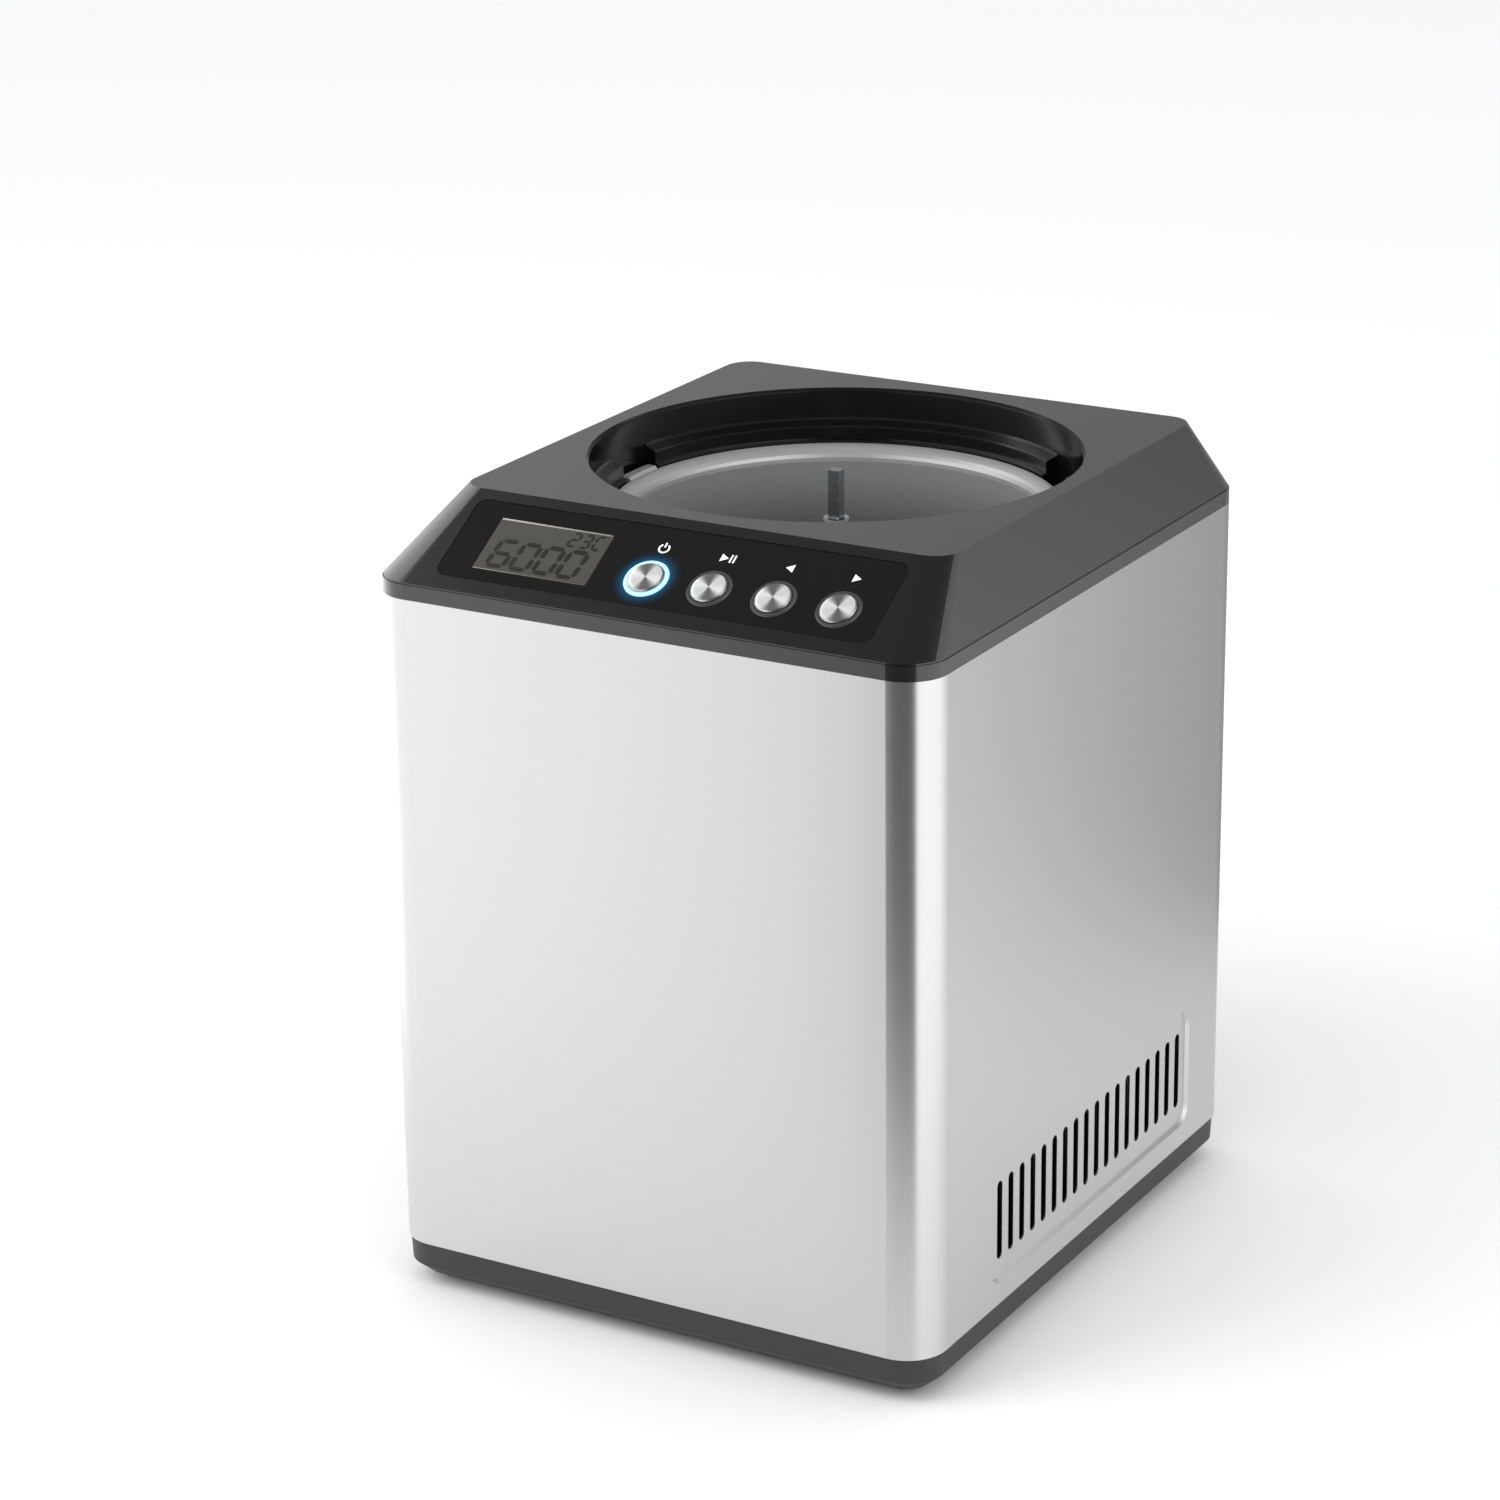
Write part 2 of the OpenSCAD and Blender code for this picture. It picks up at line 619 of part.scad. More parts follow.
module compressor_bracket() color("#2a2a2b") at_compressor() difference() {
    slab(104, 124, 8, 3, 17);
    at_compressor_feet() translate([0, 0, 10]) cylinder(h = 20, r = 5);
}

module compressor_grommets() color("#151515") at_compressor() at_compressor_feet() difference() {
    union() {
        translate([0, 0, tray_floor]) cylinder(h = 17 - tray_floor, r = 9);
        translate([0, 0, 17 - eps]) cylinder(h = 5, r = 5);
        translate([0, 0, 20]) cylinder(h = 3, r = 7.5);
    }
    translate([0, 0, 0]) cylinder(h = 40, r = 2.5);
}

module compressor_bolts() color("silver") at_compressor() at_compressor_feet() {
    translate([0, 0, 5]) cylinder(h = 22, r = 2.5);
    translate([0, 0, 23]) cylinder(h = 4, r = 5.2, $fn = 6);
}

module terminal_cover() color("#1f1f20") at_compressor() difference() {
    translate([-18, 46, 84]) cube([36, 28, 34]);
    translate([-16, 46, 86]) cube([32, 26, 30]);
    cylinder(h = 200, r = compressor_r);
}

tube_rows = [for (i = [0:7]) 22 + i * 15.5];

module condenser_frame() color("#8f9194") for (y = [-70.5, 87]) difference() {
    translate([condenser_x, y, tray_floor]) cube([condenser_t, 1.5, condenser_h + 8]);
    for (z = tube_rows) translate([condenser_x + condenser_t / 2, y - 1, z]) rotate([-90, 0, 0])
        cylinder(h = 4, r = 3.2);
}

module condenser_fins() color("#d3d6d8") for (i = [0:fin_count - 1])
    translate([condenser_x, -66 + i * fin_pitch + fin_t, 12]) rotate([90, 0, 0])
        linear_extrude(fin_t) difference() {
            square([condenser_t, condenser_h]);
            for (z = tube_rows) translate([condenser_t / 2, z - 12]) circle(3.2);
        }

module condenser_tube() color("#b87333") {
    y0 = -74;
    y1 = 92;
    x = condenser_x + condenser_t / 2;
    for (i = [0:7]) translate([x, y0, tube_rows[i]]) rotate([-90, 0, 0]) cylinder(h = y1 - y0, r = 3.2);
    for (i = [0:6]) translate([x, i % 2 == 0 ? y1 : y0, (tube_rows[i] + tube_rows[i + 1]) / 2])
        rotate([90, 0, 90]) rotate([0, 0, i % 2 == 0 ? -90 : 90])
            rotate_extrude(angle = 180) translate([15.5 / 2, 0]) circle(3.2);
}

module fan_frame() color("#1d1d1e") in_fan() {
    difference() {
        slab(fan_side, fan_side, 6, fan_t);
        translate([0, 0, -1]) cylinder(h = 40, r = 57, $fn = 96);
    }
    difference() {
        union() {
            cylinder(h = 3, r = 19);
            for (a = [45:90:315]) rotate([0, 0, a]) translate([15, -3, 0]) cube([43, 6, 3]);
        }
        translate([0, 0, -1]) cylinder(h = 10, r = 2.55);
    }
    for (y = [-50, 34]) translate([fan_side / 2 - 2, y, 0])
        cube([fan_pos.z - fan_side / 2 - tray_floor + 2, 16, fan_t]);
}

module fan_rotor() color("#2d2d2e") in_fan() {
    translate([0, 0, 0.5]) cylinder(h = 5, r = 2.5);
    translate([0, 0, 4]) cylinder(h = 19, r = 18);
    for (a = [0:360 / 7:359]) rotate([0, 0, a]) translate([16, 0, 13.5])
        rotate([35, 0, 0]) translate([0, -11, -0.8]) cube([38, 22, 1.6]);
}

module filter_drier() color("#b87333") translate([drier_pos.x, drier_pos.y, drier_pos.z]) {
    cylinder(h = 5, r1 = 3.2, r2 = 9);
    translate([0, 0, 5 - eps]) cylinder(h = 58, r = 9);
    translate([0, 0, 63 - 2 * eps]) cylinder(h = 5, r1 = 9, r2 = 3.2);
}

module discharge_line() color("#b87333") tube(smooth(discharge_route, 2), 3, 8, [0.1, 0.15, 0.98]);
module liquid_line() color("#b87333") tube(smooth(liquid_route, 2), 2.5, 8, [0.45, -0.88, 0.1]);
module suction_line() color("#b87333") tube(smooth(suction_route, 2), 3, 8, [0.7, 0.7, 0.05]);
module capillary_tube() color("#b87333") tube(smooth(capillary_route, 2), 1.2, 8, [0.9, 0.05, 0.4]);

// ---------- electrics ----------

module board_bracket() color("#9a9da0") {
    difference() {
        translate([-114, -148, tray_floor]) cube([98, 1.5, 92]);
        translate([-100, -152, 40]) cube([64, 6, 40]);
    }
    translate([-114, -148, tray_floor]) cube([98, 16, 1.5]);
    for (x = [-110, -25], z = [29, 89]) translate([x, -146.6, z]) rotate([-90, 0, 0]) cylinder(h = 4.6, r = 3);
}

module power_board() color("#1e5b36") translate([-115, -142, 24]) cube([95, 1.6, 70]);

module power_board_parts() color("#2a4f8f") {
    translate([-108, -140.4, 32]) cube([30, 24, 26]);
    translate([-70, -140.4, 34]) cube([16, 18, 22]);
    translate([-46, -140.4, 34]) cube([16, 18, 22]);
    for (x = [-100, -84, -68]) translate([x, -140.4, 76]) rotate([-90, 0, 0]) cylinder(h = 18, r = 6);
    translate([-50, -140.4, 66]) cube([24, 14, 18]);
}

module wiring_loom() color("#202020") tube(smooth(loom_route, 2), 2.5, 8, [0.2, 0.9, 0.1]);

// ---------- one node at a time ----------

base_tray();
feet();
foot_screws();
steel_wrap();
rear_cover();
rear_screws();
cord_gland();
tie_rods();
top_cover();
lid_collar();
control_overlay();
display_window();
display_module();
control_board();
tact_switches();
button(0);  // power_button
button(1);  // start_button
button(2);  // back_button
button(3);  // forward_button
power_light_ring();
button_bezels();
mid_deck();
cooling_tub();
evaporator_coil();
tub_insulation();
tub_gasket();
bowl();
drive_shaft();
shaft_seal();
bearing_housing();
shaft_bearings();
drive_pulley();
drive_belt();
motor_pulley();
motor_shaft();
motor_rotor();
motor_stator();
motor_brackets();
motor_windings();
compressor_shell_lower();
compressor_shell_upper();
compressor_core();
compressor_bracket();
compressor_grommets();
compressor_bolts();
terminal_cover();
condenser_fins();
condenser_tube();
condenser_frame();
fan_frame();
fan_rotor();
filter_drier();
discharge_line();
liquid_line();
suction_line();
capillary_tube();
board_bracket();
power_board();
power_board_parts();
wiring_loom();
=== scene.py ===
"""Looks of a countertop yogurt and ice-cream maker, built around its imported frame."""

import json
import math

import bmesh
import bpy
from mathutils import Matrix, Vector


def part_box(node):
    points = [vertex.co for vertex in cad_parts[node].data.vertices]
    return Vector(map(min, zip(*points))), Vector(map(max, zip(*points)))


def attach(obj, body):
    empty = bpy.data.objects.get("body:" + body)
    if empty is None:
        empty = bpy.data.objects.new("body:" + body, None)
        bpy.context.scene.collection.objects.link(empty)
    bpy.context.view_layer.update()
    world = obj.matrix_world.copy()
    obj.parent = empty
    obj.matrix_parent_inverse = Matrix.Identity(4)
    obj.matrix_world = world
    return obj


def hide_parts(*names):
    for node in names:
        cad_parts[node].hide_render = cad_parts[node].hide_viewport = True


bl_info = {
    "name": "Yogurt Maker Looks",
    "version": (1, 0, 0),
    "blender": (4, 5, 0),
    "location": "View3D > Sidebar > Yogurt Maker",
    "description": "Finishes, prints and trim of a countertop yogurt maker, and its studio",
    "category": "Object",
}

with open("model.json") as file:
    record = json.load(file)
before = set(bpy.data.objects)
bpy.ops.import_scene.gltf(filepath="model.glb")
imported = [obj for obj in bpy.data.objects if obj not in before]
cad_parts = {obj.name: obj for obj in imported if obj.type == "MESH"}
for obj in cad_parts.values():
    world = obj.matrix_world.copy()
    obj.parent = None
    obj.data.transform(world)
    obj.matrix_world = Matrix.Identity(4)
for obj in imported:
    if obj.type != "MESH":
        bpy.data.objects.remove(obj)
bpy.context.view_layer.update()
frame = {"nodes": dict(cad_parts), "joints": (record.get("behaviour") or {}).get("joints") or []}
nodes = frame["nodes"]

MM = 0.001
HOUSING = "housing"
BUTTONS = ("power_button", "start_button", "back_button", "forward_button")


def middle(node):
    """Centre of a CAD node's box."""
    low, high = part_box(node)
    return (low + high) / 2


STEEL_LOW, STEEL_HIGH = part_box("steel_wrap")
BOWL_AXIS = middle("drive_shaft")
PRESS = Vector(next(j["axis"] for j in frame["joints"] if j["name"] == "power_press")).normalized()


def slope_matrix():
    """Local X across the control slope, local Y up it and local Z out of it."""
    outwards = -PRESS
    upwards = outwards.cross(Vector((1, 0, 0)))
    foot = Vector((0, STEEL_LOW.y + 0.6 * MM, STEEL_HIGH.z + 7.6 * MM))
    turn = Matrix((Vector((1, 0, 0)), upwards, outwards)).transposed().to_4x4()
    return Matrix.Translation(foot) @ turn


SLOPE = slope_matrix()
TO_SLOPE = SLOPE.inverted()


def slope_box(node):
    """Lowest and highest corner of a node in the slope's own axes."""
    points = [TO_SLOPE @ vert.co for vert in nodes[node].data.vertices]
    return (Vector([min(p[i] for p in points) for i in range(3)]),
            Vector([max(p[i] for p in points) for i in range(3)]))


def slope_middle(node):
    """Centre of a node in the slope's own axes."""
    low, high = slope_box(node)
    return (low + high) / 2


# ---------- colours and nodes ----------


def linear(hex_colour):
    """sRGB hex to linear RGBA."""
    parts = [int(hex_colour[i : i + 2], 16) / 255 for i in (1, 3, 5)]
    return tuple(c / 12.92 if c <= 0.04045 else ((c + 0.055) / 1.055) ** 2.4 for c in parts) + (1.0,)


def add(tree, kind, links=(), **settings):
    """Adds a node. A setting is a socket by its name, with spaces as underscores, or a property of the node.
    links are (input socket, other node, output socket)."""
    made = tree.nodes.new(kind)
    for name, value in settings.items():
        if hasattr(made, name):
            setattr(made, name, value)
    for name, value in settings.items():
        if not hasattr(made, name):
            made.inputs[name.replace("_", " ")].default_value = value
    for socket, other, output in links:
        tree.links.new(other.outputs[output], made.inputs[socket])
    return made


def finish_material(name, colour, **shader_settings):
    """A material with one Principled shader whose constants sit on its own sockets."""
    material = bpy.data.materials.new(name)
    material.use_nodes = True
    tree = material.node_tree
    shader = tree.nodes["Principled BSDF"]
    shader.inputs["Base Color"].default_value = colour
    for setting, value in shader_settings.items():
        shader.inputs[setting.replace("_", " ")].default_value = value
    material.diffuse_color = colour
    return material, tree, shader


def object_pattern(tree, scale=1, centre=None):
    """Object coordinates. scale is the pattern's units in a metre, one or one an axis; centre its origin."""
    links = [("Vector", add(tree, "ShaderNodeTexCoord"), "Object")]
    sizes = scale if isinstance(scale, tuple) else (scale, scale, scale)
    if centre is None:
        return add(tree, "ShaderNodeMapping", links, Scale=sizes)
    return add(tree, "ShaderNodeMapping", links, vector_type="TEXTURE", Scale=sizes, Location=centre)


def vary_colour(tree, shader, pattern, first, second):
    """Lets the surface wander between two colours with the pattern."""
    blend = add(tree, "ShaderNodeMix", [(0, pattern, 0)], data_type="RGBA")
    blend.inputs[6].default_value = first
    blend.inputs[7].default_value = second
    tree.links.new(blend.outputs[2], shader.inputs["Base Color"])


def vary_roughness(tree, shader, pattern, smooth, rough):
    """Lets the roughness wander between two values with the pattern."""
    span = add(tree, "ShaderNodeMapRange", [("Value", pattern, 0)], To_Min=smooth, To_Max=rough)
    tree.links.new(span.outputs[0], shader.inputs["Roughness"])


def raise_grain(tree, shader, pattern, height, strength):
    """Bump of a real height in metres."""
    bump = add(tree, "ShaderNodeBump", [("Height", pattern, 0)], Strength=strength, Distance=height)
    tree.links.new(bump.outputs["Normal"], shader.inputs["Normal"])


# ---------- finishes ----------

RINGS_PER_METRE = 1100
GLOW_FROM, GLOW_TO = 9.5 * MM, 17 * MM  # distances from the lamp's centre between which its light fades


def brushed_steel(look):
    """Stainless sheet, belt-brushed sideways: long fine scratches stretch each reflection up and down."""
    material, tree, shader = finish_material("brushed_stainless_sheet", look.steel, Metallic=1.0,
                                             Roughness=look.steel_roughness, Anisotropic=0.75,
                                             Anisotropic_Rotation=0.25)
    # Scratches of 0.1 mm would not show, so they are drawn 0.8 mm wide and 60 mm long
    scratches = add(tree, "ShaderNodeTexNoise", [("Vector", object_pattern(tree, (16, 16, 1250)), "Vector")],
                    Scale=1.0, Detail=5.0, Roughness=0.6)
    vary_colour(tree, shader, scratches, tuple(0.93 * c for c in look.steel[:3]) + (1,), look.steel)
    vary_roughness(tree, shader, scratches, look.steel_roughness - 0.04, look.steel_roughness + 0.05)
    raise_grain(tree, shader, scratches, 0.02 * MM, 0.25)
    around = add(tree, "ShaderNodeTangent", direction_type="RADIAL", axis="Z")
    tree.links.new(around.outputs[0], shader.inputs["Tangent"])
    return material


def spun_aluminium(name, colour, centre, roughness, deep, rim):
    """Sheet spun on a lathe: fine rings round the centre, a soft satin glow, and painted shade that darkens
    the colour from the height rim down to the height deep.
    """
    material, tree, shader = finish_material(name, colour, Metallic=0.6, Roughness=roughness, Anisotropic=0.4)
    around = object_pattern(tree, centre=centre)
    split = add(tree, "ShaderNodeSeparateXYZ", [("Vector", around, "Vector")])
    flat = add(tree, "ShaderNodeCombineXYZ", [("X", split, "X"), ("Y", split, "Y")])
    radius = add(tree, "ShaderNodeVectorMath", [(0, flat, 0)], operation="LENGTH")
    # Turning rings 0.9 mm apart, drawn coarser than the real 0.2 mm so that they show
    outwards = add(tree, "ShaderNodeMath", [(0, radius, "Value")], operation="MULTIPLY")
    upwards = add(tree, "ShaderNodeMath", [(0, split, "Z")], operation="MULTIPLY")
    for direction in (outwards, upwards):
        direction.inputs[1].default_value = RINGS_PER_METRE
    lines = add(tree, "ShaderNodeCombineXYZ", [("X", outwards, 0), ("Y", upwards, 0)])
    rings = add(tree, "ShaderNodeTexNoise", [("Vector", lines, 0)], Scale=1.0, Detail=3.0)
    vary_roughness(tree, shader, rings, roughness - 0.05, roughness + 0.07)
    raise_grain(tree, shader, rings, 0.02 * MM, 0.3)
    # Painted shade: the colour darkens from the height rim down to the height deep, as the lower wall of the
    # bowl lies in shade
    down = add(tree, "ShaderNodeMapRange", [("Value", split, "Z")], interpolation_type="SMOOTHSTEP",
               From_Min=deep, From_Max=rim)
    rings_and_painted_depth_shade = add(tree, "ShaderNodeMath", [(0, rings, "Fac")], operation="MULTIPLY_ADD")
    rings_and_painted_depth_shade.inputs[1].default_value = 0.16
    tree.links.new(down.outputs[0], rings_and_painted_depth_shade.inputs[2])
    # Down to 0.3 of the metal's own colour where the painted shade is deepest
    vary_colour(tree, shader, rings_and_painted_depth_shade, tuple(0.3 * c for c in colour[:3]) + (1,), colour)
    turn = add(tree, "ShaderNodeTangent", direction_type="RADIAL", axis="Z")
    tree.links.new(turn.outputs[0], shader.inputs["Tangent"])
    return material


def moulded_plastic(name, colour, roughness, grain=0.35, depth=0.25, polish=0.0):
    """Injection-moulded plastic: a fine spark-eroded grain breaks up reflections, and polish adds a skin."""
    material, tree, shader = finish_material(name, colour, Roughness=roughness, IOR=1.53, Coat_Weight=polish,
                                             Coat_Roughness=0.13, Coat_IOR=1.6,
                                             Specular_IOR_Level=0.5 - 0.3 * polish)
    fine = object_pattern(tree, 1000 / grain)
    grit = add(tree, "ShaderNodeTexNoise", [("Vector", fine, "Vector")], Scale=1.0, Detail=2.0)
    coarse = object_pattern(tree, 9)
    wide = add(tree, "ShaderNodeTexNoise", [("Vector", coarse, "Vector")], Scale=1.0, Detail=3.0)
    vary_colour(tree, shader, wide, colour, tuple(1.35 * c for c in colour[:3]) + (1,))
    vary_roughness(tree, shader, wide, roughness - 0.03, roughness + 0.05)
    raise_grain(tree, shader, grit, 0.02 * MM, depth)
    return material


def gloss_overlay(look, lamp):
    """Hard-coated polycarbonate overlay: deep black, polished, lit softly round the power lamp."""
    material, tree, shader = finish_material("hard_coated_overlay", look.overlay, Roughness=0.12, IOR=1.52,
                                             Emission_Color=look.glow, Coat_Weight=0.4, Coat_Roughness=0.04)
    place = object_pattern(tree, centre=lamp)
    distance = add(tree, "ShaderNodeVectorMath", [(0, place, "Vector")], operation="LENGTH")
    fade = add(tree, "ShaderNodeMapRange", [("Value", distance, "Value")], From_Min=GLOW_FROM,
               From_Max=GLOW_TO, To_Min=1.0, To_Max=0.0)
    curve = add(tree, "ShaderNodeMath", [(0, fade, 0)], operation="POWER")
    curve.inputs[1].default_value = 2.6
    strength = add(tree, "ShaderNodeMath", [(0, curve, 0)], operation="MULTIPLY")
    strength.inputs[1].default_value = look.glow_strength
    tree.links.new(strength.outputs[0], shader.inputs["Emission Strength"])
    dust = add(tree, "ShaderNodeTexNoise", [("Vector", object_pattern(tree, 220), "Vector")], Scale=1.0)
    vary_roughness(tree, shader, dust, 0.1, 0.17)
    return material


def lamp_plastic(look):
    """Light guide of the power button: frosted acrylic, lit from behind."""
    material, tree, shader = finish_material("lit_acrylic_ring", look.lamp, Roughness=0.3, IOR=1.49,
                                             Emission_Color=look.lamp, Emission_Strength=0.62)
    place = object_pattern(tree, 900)
    frost = add(tree, "ShaderNodeTexNoise", [("Vector", place, "Vector")], Scale=1.0, Detail=2.0)
    raise_grain(tree, shader, frost, 0.03 * MM, 0.3)
    return material


def display_glass(look):
    """Liquid-crystal cell behind a polariser: a warm grey with a faint sheen."""
    material, tree, shader = finish_material("display_polariser", look.display, Roughness=0.22, IOR=1.5)
    place = object_pattern(tree, (30, 60, 60))
    wide = add(tree, "ShaderNodeTexNoise", [("Vector", place, "Vector")], Scale=1.0)
    vary_colour(tree, shader, wide, tuple(0.86 * c for c in look.display[:3]) + (1,), look.display)
    return material


def soft_rubber():
    """Moulded black rubber: matt, with a faint bloom."""
    material, tree, shader = finish_material("moulded_rubber", linear("#161616"), Roughness=0.75, IOR=1.5)
    place = object_pattern(tree, 400)
    bloom = add(tree, "ShaderNodeTexNoise", [("Vector", place, "Vector")], Scale=1.0, Detail=4.0)
    vary_colour(tree, shader, bloom, linear("#121212"), linear("#242424"))
    raise_grain(tree, shader, bloom, 0.05 * MM, 0.4)
    return material


def plain_metal(name, dark, light, roughness, grain=2.0):
    """Rolled, drawn or plated metal: faint clouds and fine pits."""
    material, tree, shader = finish_material(name, linear(light), Metallic=1.0, Roughness=roughness)
    place = object_pattern(tree, 1000 / grain)
    cloud = add(tree, "ShaderNodeTexNoise", [("Vector", place, "Vector")], Scale=1.0, Detail=5.0)
    vary_colour(tree, shader, cloud, linear(dark), linear(light))
    vary_roughness(tree, shader, cloud, roughness - 0.06, roughness + 0.1)
    raise_grain(tree, shader, cloud, 0.02 * MM, 0.2)
    return material


def coated(name, dark, light, roughness, grain=1.0, depth=0.3):
    """Paint, lacquer, foam or board: a coloured surface that isn't metal."""
    material, tree, shader = finish_material(name, linear(light), Roughness=roughness, IOR=1.5)
    place = object_pattern(tree, 1000 / grain)
    speck = add(tree, "ShaderNodeTexNoise", [("Vector", place, "Vector")], Scale=1.0, Detail=4.0)
    vary_colour(tree, shader, speck, linear(dark), linear(light))
    raise_grain(tree, shader, speck, 0.05 * MM, depth)
    return material


def wear(node_names, material):
    """Gives CAD nodes a finish."""
    for name in node_names:
        mesh = nodes[name].data
        mesh.materials.clear()
        mesh.materials.append(material)


def ease_edges(node_names, width, angle=35):
    """A small live rounding on a CAD node's sharp edges."""
    for name in node_names:
        rounding = nodes[name].modifiers.new("eased_edges", "BEVEL")
        rounding.width = width
        rounding.segments = 3
        rounding.limit_method = "ANGLE"
        rounding.angle_limit = math.radians(angle)
        rounding.harden_normals = False


# ---------- mesh helpers ----------


def verts_of(geometry):
    """The vertices among what an operator made."""
    return [item for item in geometry if isinstance(item, bmesh.types.BMVert)]


def join(mesh, part):
    """Moves a finished part into the mesh of a larger piece."""
    held = bpy.data.meshes.new("held")
    part.to_mesh(held)
    part.free()
    mesh.from_mesh(held)
    bpy.data.meshes.remove(held)


def piece(name, mesh, material, body=HOUSING, smooth=30):
    """Turns a bmesh in the frame's own axes into a finished piece that rides on a body."""
    bmesh.ops.recalc_face_normals(mesh, faces=mesh.faces)
    data = bpy.data.meshes.new(name)
    mesh.to_mesh(data)
    mesh.free()
    made = bpy.data.objects.new(name, data)
    bpy.context.scene.collection.objects.link(made)
    data.materials.append(material)
    data.set_sharp_from_angle(angle=math.radians(smooth))
    for face in data.polygons:
        face.use_smooth = True
    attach(made, body)
    return made


def bar(mesh, length, width, place, point=0.0):
    """A flat bar along X; point cuts its corners back to a point."""
    made = bmesh.ops.create_grid(mesh, x_segments=1, y_segments=1, size=0.5,
                                 matrix=place @ Matrix.Diagonal((length, width, 1, 1)))["verts"]
    if point:
        bmesh.ops.bevel(mesh, geom=made, offset=point, segments=1, profile=0.5, affect="VERTICES",
                        material=-1)


def thicken(mesh, height, direction):
    """Raises every face of a flat print along a direction, so that it is a closed body."""
    faces = list(mesh.faces)
    raised = bmesh.ops.extrude_face_region(mesh, geom=faces, use_keep_orig=True)["geom"]
    bmesh.ops.translate(mesh, vec=direction * height, verts=verts_of(raised))


def turned(mesh, outline, steps=96):
    """Spins an outline of (radius, height) points round local Z."""
    verts = [mesh.verts.new((r, 0, z)) for r, z in outline]
    edges = [mesh.edges.new(pair) for pair in zip(verts, verts[1:])]
    bmesh.ops.spin(mesh, geom=verts + edges, cent=(0, 0, 0), axis=(0, 0, 1), angle=math.tau, steps=steps,
                   use_merge=True)
    bmesh.ops.remove_doubles(mesh, verts=mesh.verts, dist=0.002 * MM)


# ---------- settings ----------


def colour_property(name, description, default):
    """A colour with its default as sRGB hex."""
    return bpy.props.FloatVectorProperty(name=name, description=description, subtype="COLOR", size=4,
                                         min=0, max=1, default=linear(default))


class CasingLook(bpy.types.PropertyGroup):
    steel: colour_property("Steel", "Colour of the brushed steel", "#d2d2d2")
    steel_roughness: bpy.props.FloatProperty(name="Steel roughness", default=0.33, min=0.1, max=0.8,
                                             description="Blur of the steel's reflections")
    cover: colour_property("Cover", "Colour of the top cover", "#0e0e0f")
    base: colour_property("Base", "Colour of the base tray", "#262626")
    collar: colour_property("Collar", "Colour of the lid collar", "#0b0b0b")
    edge: bpy.props.FloatProperty(name="Edge rounding", description="Rounding of moulded edges",
                                  unit="LENGTH", default=0.7 * MM, min=0, max=2 * MM)


class PanelLook(bpy.types.PropertyGroup):
    overlay: colour_property("Overlay", "Colour of the control overlay", "#0b0b0b")
    display: colour_property("Display", "Colour of the display", "#4c4a45")
    # This colour goes only into the symbols' faint glow, which is painted light
    prints: colour_property("Symbols", "Colour of the printed symbols", "#f2f2f2")
    lamp: colour_property("Lamp", "Colour of the lit ring", "#a6e4f4")
    glow: colour_property("Glow", "Colour of the light round the lamp", "#0d7fbd")
    glow_strength: bpy.props.FloatProperty(name="Glow strength", default=0.5, min=0, max=5,
                                           description="Brightness of the light round the lamp")
    digit_height: bpy.props.FloatProperty(name="Digit height", description="Height of the large digits",
                                          unit="LENGTH", default=14.5 * MM, min=8 * MM, max=18 * MM)
    timer: bpy.props.StringProperty(name="Timer", default="6000",
                                    description="Large digits on the display")
    reading: bpy.props.StringProperty(name="Reading", default="23C",
                                      description="Small digits on the display")


class BowlLook(bpy.types.PropertyGroup):
    metal: colour_property("Bowl metal", "Colour of the removable bowl", "#c6c6c6")
    roughness: bpy.props.FloatProperty(name="Bowl roughness", description="Blur of the bowl's reflections",
                                       default=0.36, min=0.1, max=0.8)


class StageLook(bpy.types.PropertyGroup):
    floor: colour_property("Floor", "Colour of the floor", "#f6f6f6")
    turn: bpy.props.FloatProperty(name="Camera turn", description="How far the camera stands to the right",
                                  subtype="ANGLE", default=math.radians(30.04))
    tilt: bpy.props.FloatProperty(name="Camera tilt", description="How far the camera looks down",
                                  subtype="ANGLE", default=math.radians(19.44))
    roll: bpy.props.FloatProperty(name="Camera roll", description="Turn about the line of sight",
                                  subtype="ANGLE", default=math.radians(0.72))
    overhead: bpy.props.FloatProperty(name="Overhead", default=0.165, min=0, max=1,
                                      description="Brightness that reflections find overhead")
    lens: bpy.props.FloatProperty(name="Focal length", description="Lens in millimetres on a 36 mm sensor",
                                  default=107.23, min=35, max=300)
    place: bpy.props.FloatVectorProperty(name="Camera place", description="Where the camera stands",
                                         subtype="TRANSLATION", unit="LENGTH",
                                         default=(0.9354, -1.6809, 0.9106))


# ---------- operators ----------


class YOGURT_OT_casing(bpy.types.Operator):
    """Finishes of the steel, the covers, the base and the feet"""

    bl_idname = "yogurt.casing"
    bl_label = "Casing"

    def execute(self, context):
        look = context.scene.yogurt_casing
        wear(["steel_wrap"], brushed_steel(look))
        wear(["top_cover"],
             moulded_plastic("satin_abs_cover", look.cover, 0.42, grain=0.5, depth=0.1, polish=1.0))
        wear(["rear_cover"], moulded_plastic("satin_abs_rear", look.cover, 0.5, grain=0.7, depth=0.35))
        wear(["base_tray"], moulded_plastic("grained_abs_base", look.base, 0.5, grain=0.7, depth=0.3))
        wear(["lid_collar"],
             moulded_plastic("smooth_abs_collar", look.collar, 0.2, grain=0.6, depth=0.05, polish=0.5))
        wear(["feet", "cord_gland", "tub_gasket", "shaft_seal", "compressor_grommets", "drive_belt",
              "wiring_loom"], soft_rubber())
        ease_edges(["top_cover"], look.edge, 25)
        ease_edges(["lid_collar", "rear_cover", "feet", "cord_gland"], 0.4 * MM, 35)
        return {"FINISHED"}


# Each segment by its usual letter, and how far the digits lean
DIGIT_LEAN = 0.09
SEGMENTS = {"6": "acdefg", "0": "abcdef", "2": "abdeg", "3": "abcdg", "C": "adef"}


